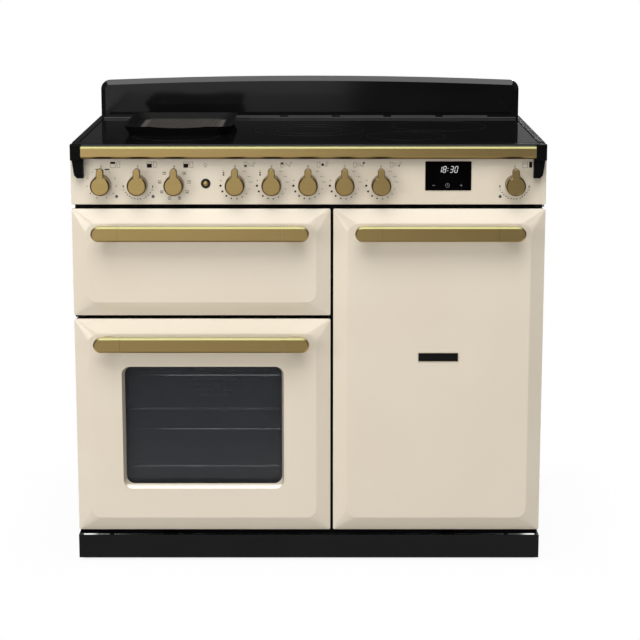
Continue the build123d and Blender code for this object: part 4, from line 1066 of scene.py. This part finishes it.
grill_x, grill_z = AXES["grill"]
for middle, width, height in GRILL_BARS:
    bar(bold, grill_x + middle * MM, grill_z + GRILL_BARS_RISE, width * MM, height * MM, FASCIA_FACE)
for name in HOB_KNOBS:
    dot(bold, *on_dial(name, FIRST_DOT_TURN, DIAL_RADIUS), FIRST_DOT, FASCIA_FACE)
    for turn, width in STEAM_MARKS:
        steam(*on_dial(name, turn, STEAM_REACH), width * MM)
    if name.startswith("hob_left"):
        boost_sign(name)
print("pictograms drawn")

# %% [markdown]
# Eight small ovens round the third knob stand for its functions: a fan, heat from above, heat from below,
# pairs of these, and steam. A bulb over the push button marks the oven light.

# %% Oven functions
SIGN_SIZE = 5.4 * MM
SIGN_DOT = 1.1 * MM
ELEMENT_RISE = 1.7 * MM
ELEMENT_SIZE = (3.4 * MM, 0.6 * MM)
STEAM_OFFSET = 1 * MM
SIGN_REACH = 31 * MM
FIRST_SIGN_TURN = 48
SIGN_ARC = 276  # degrees from the first sign to the last
# what each sign shows, clockwise
SIGNS = (
    ("fan",), ("top",), ("bottom",), ("fan", "top"), ("top", "bottom"), ("fan", "bottom"),
    ("low steam",), ("high steam",),
)


def function_sign(x, z, shown):
    """A small oven outline with a fan, a top or bottom element, or steam."""
    box_line(bold, x, z, SIGN_SIZE, SIGN_SIZE, HAIRLINE, FASCIA_FACE)
    if "fan" in shown:
        dot(bold, x, z, SIGN_DOT, FASCIA_FACE)
    if "top" in shown:
        bar(bold, x, z + ELEMENT_RISE, *ELEMENT_SIZE, FASCIA_FACE)
    if "bottom" in shown:
        bar(bold, x, z - ELEMENT_RISE, *ELEMENT_SIZE, FASCIA_FACE)
    if "low steam" in shown:
        steam(x, z - STEAM_OFFSET, ELEMENT_SIZE[0])
    if "high steam" in shown:
        steam(x, z + STEAM_OFFSET, ELEMENT_SIZE[0])


for number, shown in enumerate(SIGNS):
    turn = FIRST_SIGN_TURN - number * SIGN_ARC / (len(SIGNS) - 1)
    function_sign(*on_dial("oven_function", turn, SIGN_REACH), shown)
print("function signs:", len(SIGNS))

# %% Lamp sign
BULB_RISE = 39 * MM
BULB_RADIUS = 3.2 * MM
BULB_CAP = ((-4.2, 2.8), (-5.2, 2.4))  # level and width in mm

button_low, button_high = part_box("light_button_bezel")
bulb_x = (button_low.x + button_high.x) / 2
bulb_z = (button_low.z + button_high.z) / 2 + BULB_RISE
hoop(thin, bulb_x, bulb_z, BULB_RADIUS, HAIRLINE, FASCIA_FACE)
for level, width in BULB_CAP:
    bar(thin, bulb_x, bulb_z + level * MM, width * MM, HAIRLINE, FASCIA_FACE)
piece_from("fascia_marks", bold, dark_ink, "cabinet")
piece_from("fascia_lines", thin, pale_ink, "cabinet")
print("fascia printed")

# %% [markdown]
# ## Clock
#
# The clock shows the time in slanted seven-segment digits behind black glass, above three touch keys. Each
# segment is a six-sided bar; a digit is the list of the segments that are lit.

# %% Clock digits
CLOCK_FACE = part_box("clock_display")[0].y
SEGMENTS = {"0": "abcdef", "1": "bc", "3": "abcdg", "8": "abcdefg"}
DIGIT_HEIGHT = 13.8 * MM
DIGIT_WIDTH = 7.0 * MM
SEGMENT = 1.3 * MM
SEGMENT_GAP = 0.25 * MM
SLANT = 0.17


def segment(mesh, x, z, length, upright, base):
    half = length / 2 - SEGMENT_GAP
    thick = SEGMENT / 2
    shoulder = half - thick
    shape = [
        (-half, 0), (-shoulder, -thick), (shoulder, -thick), (half, 0), (shoulder, thick), (-shoulder, thick),
    ]
    if upright:
        shape = [(-b, a) for a, b in shape]
    points = [(x + a + (z + b - base) * SLANT, z + b) for a, b in shape]
    raise_outline(mesh, points, CLOCK_FACE)


def clock_digit(mesh, character, x, base):
    wide = DIGIT_WIDTH - SEGMENT
    tall = (DIGIT_HEIGHT - SEGMENT) / 2
    low = base + SEGMENT / 2
    places = {
        "a": (0, 2 * tall, False), "g": (0, tall, False), "d": (0, 0, False),
        "f": (-wide / 2, 1.5 * tall, True), "b": (wide / 2, 1.5 * tall, True),
        "e": (-wide / 2, 0.5 * tall, True), "c": (wide / 2, 0.5 * tall, True),
    }
    for name in SEGMENTS[character]:
        across, up, upright = places[name]
        segment(mesh, x + across, low + up, tall if upright else wide, upright, base)


# %% [markdown]
# The time is half past six in the evening. Under it lie a minus, a clock and a plus, all drawn with the
# strokes and hoops that print the fascia.

# %% Time and touch keys
CLOCK_BASE = 845 * MM
DIGIT_PLACES = (("1", 273.2), ("8", 282.3), ("3", 297.3), ("0", 306.7))  # character and middle in mm
COLON_X = 289.2 * MM
COLON_DOT = 0.8 * MM
COLON_SIDES = 12
COLON_LEVELS = (0.33, 0.67)  # shares of the digits' height
KEY_Z = 818.5 * MM
MINUS_X = 261.1 * MM
CLOCK_X = 290 * MM
PLUS_X = 318.5 * MM
KEY_ARM = 2.3 * MM
KEY_LINE = 0.9 * MM
KEY_RADIUS = 4.2 * MM
HAND_LINE = 0.8 * MM
HAND_TIPS = ((0, 2.6), (1.8, -0.9))  # across and up from the middle, in mm

clock = bmesh.new()
for character, place in DIGIT_PLACES:
    clock_digit(clock, character, place * MM, CLOCK_BASE)
for level in COLON_LEVELS:
    rise = DIGIT_HEIGHT * level
    dot(clock, COLON_X + rise * SLANT, CLOCK_BASE + rise, COLON_DOT, CLOCK_FACE, COLON_SIDES)
piece_from("clock_digits", clock, lit_digit, "cabinet")

keys = bmesh.new()
for x in (MINUS_X, PLUS_X):
    stroke(keys, (x - KEY_ARM, KEY_Z), (x + KEY_ARM, KEY_Z), KEY_LINE, CLOCK_FACE)
stroke(keys, (PLUS_X, KEY_Z - KEY_ARM), (PLUS_X, KEY_Z + KEY_ARM), KEY_LINE, CLOCK_FACE)
hoop(keys, CLOCK_X, KEY_Z, KEY_RADIUS, HAIRLINE, CLOCK_FACE)
for across, up in HAND_TIPS:
    stroke(keys, (CLOCK_X, KEY_Z), (CLOCK_X + across * MM, KEY_Z + up * MM), HAND_LINE, CLOCK_FACE)
piece_from("clock_keys", keys, dim_digit, "cabinet")
print("clock set")

# %% [markdown]
# ## Cooking zones
#
# The zones are fine lines fired into the glass. A ring follows a path, so geometry nodes sweep a flat strip
# round a circle. The zone in the middle has a second ring for small pans.

# %% Zone ring tree
RING_STEPS = 96


def make_ring_tree():
    tree, given, output = geometry_tree("zone_ring", {
        "Centre": "NodeSocketVector", "Radius": "NodeSocketFloat", "Line": "NodeSocketFloat",
        "Thickness": "NodeSocketFloat", "Material": "NodeSocketMaterial",
    })
    ring = tree.nodes.new("GeometryNodeCurvePrimitiveCircle")
    ring.inputs["Resolution"].default_value = RING_STEPS
    tree.links.new(given["Radius"], ring.inputs["Radius"])
    strip = tree.nodes.new("GeometryNodeCurvePrimitiveQuadrilateral")
    tree.links.new(given["Line"], strip.inputs["Width"])
    tree.links.new(given["Thickness"], strip.inputs["Height"])
    sweep = tree.nodes.new("GeometryNodeCurveToMesh")
    tree.links.new(ring.outputs[0], sweep.inputs["Curve"])
    tree.links.new(strip.outputs[0], sweep.inputs["Profile Curve"])
    move = tree.nodes.new("GeometryNodeTransform")
    tree.links.new(sweep.outputs[0], move.inputs["Geometry"])
    tree.links.new(given["Centre"], move.inputs["Translation"])
    close_tree(tree, move.outputs[0], given["Material"], output)
    return tree


# %% Zones on the hob
RING_TREE = make_ring_tree()
ZONE_LINE = 1.1 * MM
# middle across, distance behind the fascia and radius, in mm
ZONES = (
    (0, 272, 120.5), (0, 272, 72), (210, 153, 85), (292, 357, 106), (-285, 150, 92), (-285, 350, 92),
)


def zone_ring(x, setback, radius):
    return grow(RING_TREE, {
        "Centre": (x * MM, FASCIA_FACE + setback * MM, HOB_TOP + INK / 2), "Radius": radius * MM,
        "Line": ZONE_LINE, "Thickness": INK, "Material": zone_ink,
    })


rings = [zone_ring(*zone) for zone in ZONES]
gather("zone_lines", rings, zone_ink, "cabinet")
print("zones drawn:", len(rings))

# %% [markdown]
# ## Fasteners and louvres
#
# The back of a cooker is plain zinc-coated sheet, held by cross-head screws and pierced by louvres. The head
# is modelled once, with its cross cut by a Boolean, and a tree sets a row of copies along a line.

# %% Plain shapes
def revolve(profile, sides):
    """A closed turned shape about Z with flat ends, from the radius and height of each edge in mm."""
    mesh = bmesh.new()
    loops = []
    turns = [2 * pi * n / sides for n in range(sides)]
    for radius, height in profile:
        ring = [Vector((radius * cos(turn), radius * sin(turn), height)) * MM for turn in turns]
        loops.append([mesh.verts.new(point) for point in ring])
    for one, two in zip(loops, loops[1:]):
        for n in range(sides):
            after = (n + 1) % sides
            mesh.faces.new((one[n], one[after], two[after], two[n]))
    mesh.faces.new(loops[0][::-1])
    mesh.faces.new(loops[-1])
    bmesh.ops.recalc_face_normals(mesh, faces=mesh.faces)
    return mesh


def plain_data(name, mesh):
    data = bpy.data.meshes.new(name)
    mesh.to_mesh(data)
    mesh.free()
    return data


def plain_object(name, mesh):
    shape = bpy.data.objects.new(name, plain_data(name, mesh))
    bpy.context.scene.collection.objects.link(shape)
    return shape


# %% Screw head
HEAD_PROFILE = ((4.0, 0), (4.0, 0.7), (3.52, 1.5), (2.4, 2.1))
HEAD_SIDES = 20
CROSS_LENGTH = 4.2 * MM
CROSS_WIDTH = 1.0 * MM
CROSS_DEPTH = 2.4 * MM
CROSS_LEVEL = 2.2 * MM


def make_screw_head():
    head = plain_object("screw_head", revolve(HEAD_PROFILE, HEAD_SIDES))
    cutter_mesh = bmesh.new()
    for width, height in ((CROSS_LENGTH, CROSS_WIDTH), (CROSS_WIDTH, CROSS_LENGTH)):
        size = Matrix.Diagonal((width, height, CROSS_DEPTH, 1))
        bmesh.ops.create_cube(cutter_mesh, size=1.0, matrix=Matrix.Translation((0, 0, CROSS_LEVEL)) @ size)
    cutter = plain_object("screw_cross", cutter_mesh)
    cut = head.modifiers.new("cross", "BOOLEAN")
    cut.operation = "DIFFERENCE"
    cut.use_self = True
    cut.object = cutter
    mesh = bpy.data.meshes.new_from_object(head.evaluated_get(bpy.context.evaluated_depsgraph_get()))
    bpy.data.objects.remove(head)
    bpy.data.objects.remove(cutter)
    return bpy.data.objects.new("screw_head", mesh)


SCREW_HEAD = make_screw_head()
print("screw head:", len(SCREW_HEAD.data.polygons), "faces")

# %% [markdown]
# Screws, louvres and slats all stand in straight rows. One tree takes the two ends of a row, a count, a turn
# and the shape to copy, so that a row is a single call.

# %% Row tree
def make_row_tree():
    tree, given, output = geometry_tree("row_of_copies", {
        "Start": "NodeSocketVector", "End": "NodeSocketVector", "Count": "NodeSocketInt",
        "Turn": "NodeSocketVector", "Shape": "NodeSocketObject", "Material": "NodeSocketMaterial",
    })
    points = tree.nodes.new("GeometryNodeMeshLine")
    points.mode = "END_POINTS"
    tree.links.new(given["Count"], points.inputs["Count"])
    tree.links.new(given["Start"], points.inputs["Start Location"])
    tree.links.new(given["End"], points.inputs["Offset"])
    shape = tree.nodes.new("GeometryNodeObjectInfo")
    tree.links.new(given["Shape"], shape.inputs["Object"])
    stand = tree.nodes.new("GeometryNodeInstanceOnPoints")
    tree.links.new(points.outputs[0], stand.inputs["Points"])
    tree.links.new(shape.outputs["Geometry"], stand.inputs["Instance"])
    tree.links.new(given["Turn"], stand.inputs["Rotation"])
    close_tree(tree, stand.outputs[0], given["Material"], output)
    return tree


ROW_TREE = make_row_tree()
FACE_BACK = (-pi / 2, 0, 0)
FACE_RIGHT = (0, pi / 2, 0)
FACE_LEFT = (0, -pi / 2, 0)
UPRIGHT = (0, 0, 0)


def row(start, end, count, turn, shape=SCREW_HEAD, material=zinc_steel):
    return grow(ROW_TREE, {
        "Start": start, "End": end, "Count": count, "Turn": turn, "Shape": shape, "Material": material,
    })


# %% Rear screws
EDGE = 14 * MM
BACK_INSET = 150 * MM  # of the rows along the top and bottom of the back
UPRIGHT_COUNT = 7
LEVEL_COUNT = 5
COVER_COUNT = 2

back_low, back_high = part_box("rear_panel")
screws = []
for x in (back_low.x + EDGE, back_high.x - EDGE):
    start = (x, REAR_FACE, back_low.z + EDGE)
    screws.append(row(start, (x, REAR_FACE, back_high.z - EDGE), UPRIGHT_COUNT, FACE_BACK))
for z in (back_low.z + EDGE, back_high.z - EDGE):
    start = (back_low.x + BACK_INSET, REAR_FACE, z)
    screws.append(row(start, (back_high.x - BACK_INSET, REAR_FACE, z), LEVEL_COUNT, FACE_BACK))
cover_low, cover_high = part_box("terminal_cover")
for z in (cover_low.z + EDGE, cover_high.z - EDGE):
    start = (cover_low.x + EDGE, cover_high.y, z)
    screws.append(row(start, (cover_high.x - EDGE, cover_high.y, z), COVER_COUNT, FACE_BACK))
gather("rear_screws", screws, zinc_steel, "cabinet")
print("rows of screws on the back:", len(screws))

# %% Side screws
SIDE_INSET = 60 * MM  # of the rows from the panel's top and bottom
SIDE_COUNT = 3

side_low, side_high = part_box("side_panels")
side_screws = []
for x, turn in ((side_low.x, FACE_LEFT), (side_high.x, FACE_RIGHT)):
    for y in (side_low.y + EDGE, side_high.y - EDGE):
        start = (x, y, side_low.z + SIDE_INSET)
        end = (x, y, side_high.z - SIDE_INSET)
        side_screws.append(row(start, end, SIDE_COUNT, turn, material=black_satin))
gather("side_screws", side_screws, black_satin, "cabinet")
print("rows of screws on the sides:", len(side_screws))

# %% [markdown]
# A louvre is a slit whose upper lip is pressed out into a long hood. The hood's section is a quarter wave
# that flattens towards both ends, and a thickness turns the surface into sheet.

# %% Louvres
LOUVRE_LENGTH = 86 * MM
LOUVRE_HEIGHT = 9 * MM
LOUVRE_RISE = 3.996 * MM
LOUVRE_STEPS = 8
LOUVRE_ENDS = ((-0.5, 0.0), (-0.44, 1.0), (0.44, 1.0), (0.5, 0.0))  # shares of length and of rise
SHEET = 0.8 * MM
LOUVRE_COLUMNS = 7
LOUVRE_ROWS = 7
LOUVRE_PITCH = 110 * MM
LOUVRE_LOWEST = 660 * MM
LOUVRE_HIGHEST = 780 * MM


def louvre():
    """A pressed louvre: a long hood, open along its lower edge."""
    mesh = bmesh.new()
    loops = []
    for end, lift in LOUVRE_ENDS:
        loop = []
        for n in range(LOUVRE_STEPS + 1):
            share = n / LOUVRE_STEPS
            hood = LOUVRE_RISE * lift * sin(pi / 2 * share)
            loop.append(mesh.verts.new((end * LOUVRE_LENGTH, hood, LOUVRE_HEIGHT * (0.5 - share))))
        loops.append(loop)
    for one, two in zip(loops, loops[1:]):
        for n in range(LOUVRE_STEPS):
            mesh.faces.new((one[n], two[n], two[n + 1], one[n + 1]))
    bmesh.ops.recalc_face_normals(mesh, faces=mesh.faces)
    bmesh.ops.solidify(mesh, geom=mesh.faces[:], thickness=-SHEET)
    return bpy.data.objects.new("louvre", plain_data("louvre", mesh))


LOUVRE = louvre()
louvres = []
for column in range(LOUVRE_COLUMNS):
    x = (column - (LOUVRE_COLUMNS - 1) / 2) * LOUVRE_PITCH
    start = (x, REAR_FACE, LOUVRE_LOWEST)
    louvres.append(row(start, (x, REAR_FACE, LOUVRE_HIGHEST), LOUVRE_ROWS, UPRIGHT, LOUVRE))
gather("rear_louvres", louvres, zinc_steel, "cabinet")
print("columns of louvres:", len(louvres))

# %% [markdown]
# ## Vent grille
#
# Cooling air leaves through slots behind the glass. Behind a raised lip, each slot holds three long slats
# that hide the inside from someone who stands before the hob. One slat is made, and the row tree copies it.

# %% Vent grille
VENT_SLOTS = 7
VENT_PITCH = 121.5 * MM
SLAT_LENGTH = 103 * MM
SLAT_THICKNESS = 1.6 * MM
SLAT_RISE = 6 * MM
SLAT_MIDDLE = HOB_TOP + 1 * MM
SLAT_SHARES = (0.3, 0.5, 0.7)  # places across the depth of the strip
LIP_HEIGHT = 4 * MM
LIP_THICKNESS = 2.5 * MM


def box_mesh(size, centre=(0, 0, 0)):
    mesh = bmesh.new()
    bmesh.ops.create_cube(mesh, size=1.0, matrix=Matrix.Translation(centre) @ Matrix.Diagonal((*size, 1)))
    return plain_data("box", mesh)


SLAT = bpy.data.objects.new("slat", box_mesh((SLAT_LENGTH, SLAT_THICKNESS, SLAT_RISE)))
vent_low, vent_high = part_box("hob_vent_strip")
vent_middle = (vent_low.x + vent_high.x) / 2
lip_centre = (vent_middle, vent_low.y + LIP_THICKNESS / 2, HOB_TOP + LIP_HEIGHT / 2)
grille = [box_mesh((vent_high.x - vent_low.x, LIP_THICKNESS, LIP_HEIGHT), lip_centre)]
reach = (VENT_SLOTS - 1) / 2 * VENT_PITCH
for share in SLAT_SHARES:
    y = vent_low.y + share * (vent_high.y - vent_low.y)
    start = (vent_middle - reach, y, SLAT_MIDDLE)
    end = (vent_middle + reach, y, SLAT_MIDDLE)
    grille.append(row(start, end, VENT_SLOTS, UPRIGHT, SLAT, vent_steel))
gather("vent_grille", grille, vent_steel, "cabinet")
print("vent slats:", VENT_SLOTS * (len(grille) - 1))

# %% [markdown]
# ## Window lip
#
# The sill of the oven window ends in a raised lip that catches the light from above. It is one straight bead
# of enamel with a gently bowed face, and its ends die into the rounded corners of the window. Its enamel is
# paler than the door's, which paints a highlight on it.

# %% Window lip
WINDOW_WIDTH = 344 * MM
SILL_HEIGHT = 165 * MM
BEAD_DEPTH = 7.6 * MM
BEAD_RISE = 8.0 * MM
BEAD_BOW = 0.7 * MM
BEAD_STEPS = 6
END_INSET = 3 * MM
PANEL_FACE = -282 * MM
pane_low, pane_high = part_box("oven_door_glass")
window_middle = (pane_low.x + pane_high.x) / 2


def bead_profile():
    """The bead's face from its front foot to its crest, then its back foot, as (y, z) points."""
    points = []
    for number in range(BEAD_STEPS + 1):
        share = number / BEAD_STEPS
        bow = BEAD_BOW * sin(pi * share)
        points.append((PANEL_FACE + BEAD_DEPTH * share - bow, SILL_HEIGHT + BEAD_RISE * share + bow))
    return points + [(PANEL_FACE + BEAD_DEPTH, SILL_HEIGHT)]


bead = bmesh.new()
bead_ends = []
for side in (-1, 1):
    x = window_middle + side * (WINDOW_WIDTH / 2 - END_INSET)
    bead_ends.append([bead.verts.new((x, y, z)) for y, z in bead_profile()])
    bead.faces.new(bead_ends[-1])
left, right = bead_ends
for number in range(len(left)):
    bead.faces.new((left[number - 1], left[number], right[number], right[number - 1]))
lip = piece_from("window_lip", bead, lip_enamel_highlight, "oven_door")
print("window lip:", len(lip.data.polygons), "faces")

# %% [markdown]
# ## Badge
#
# The plate on the tall door is a black field inside a thin brass edge, a frame of four strips.

# %% Badge edge
BADGE_INSET = 0.35 * MM
BADGE_LINE = 0.6 * MM
badge_low, badge_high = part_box("tall_door_badge")
badge_middle = (badge_low + badge_high) / 2
badge_width = badge_high.x - badge_low.x - 2 * BADGE_INSET
badge_height = badge_high.z - badge_low.z - 2 * BADGE_INSET
edge = bmesh.new()
box_line(edge, badge_middle.x, badge_middle.z, badge_width, badge_height, BADGE_LINE, badge_low.y)
piece_from("badge_edge", edge, brass, "tall_door")
print("badge edge set")
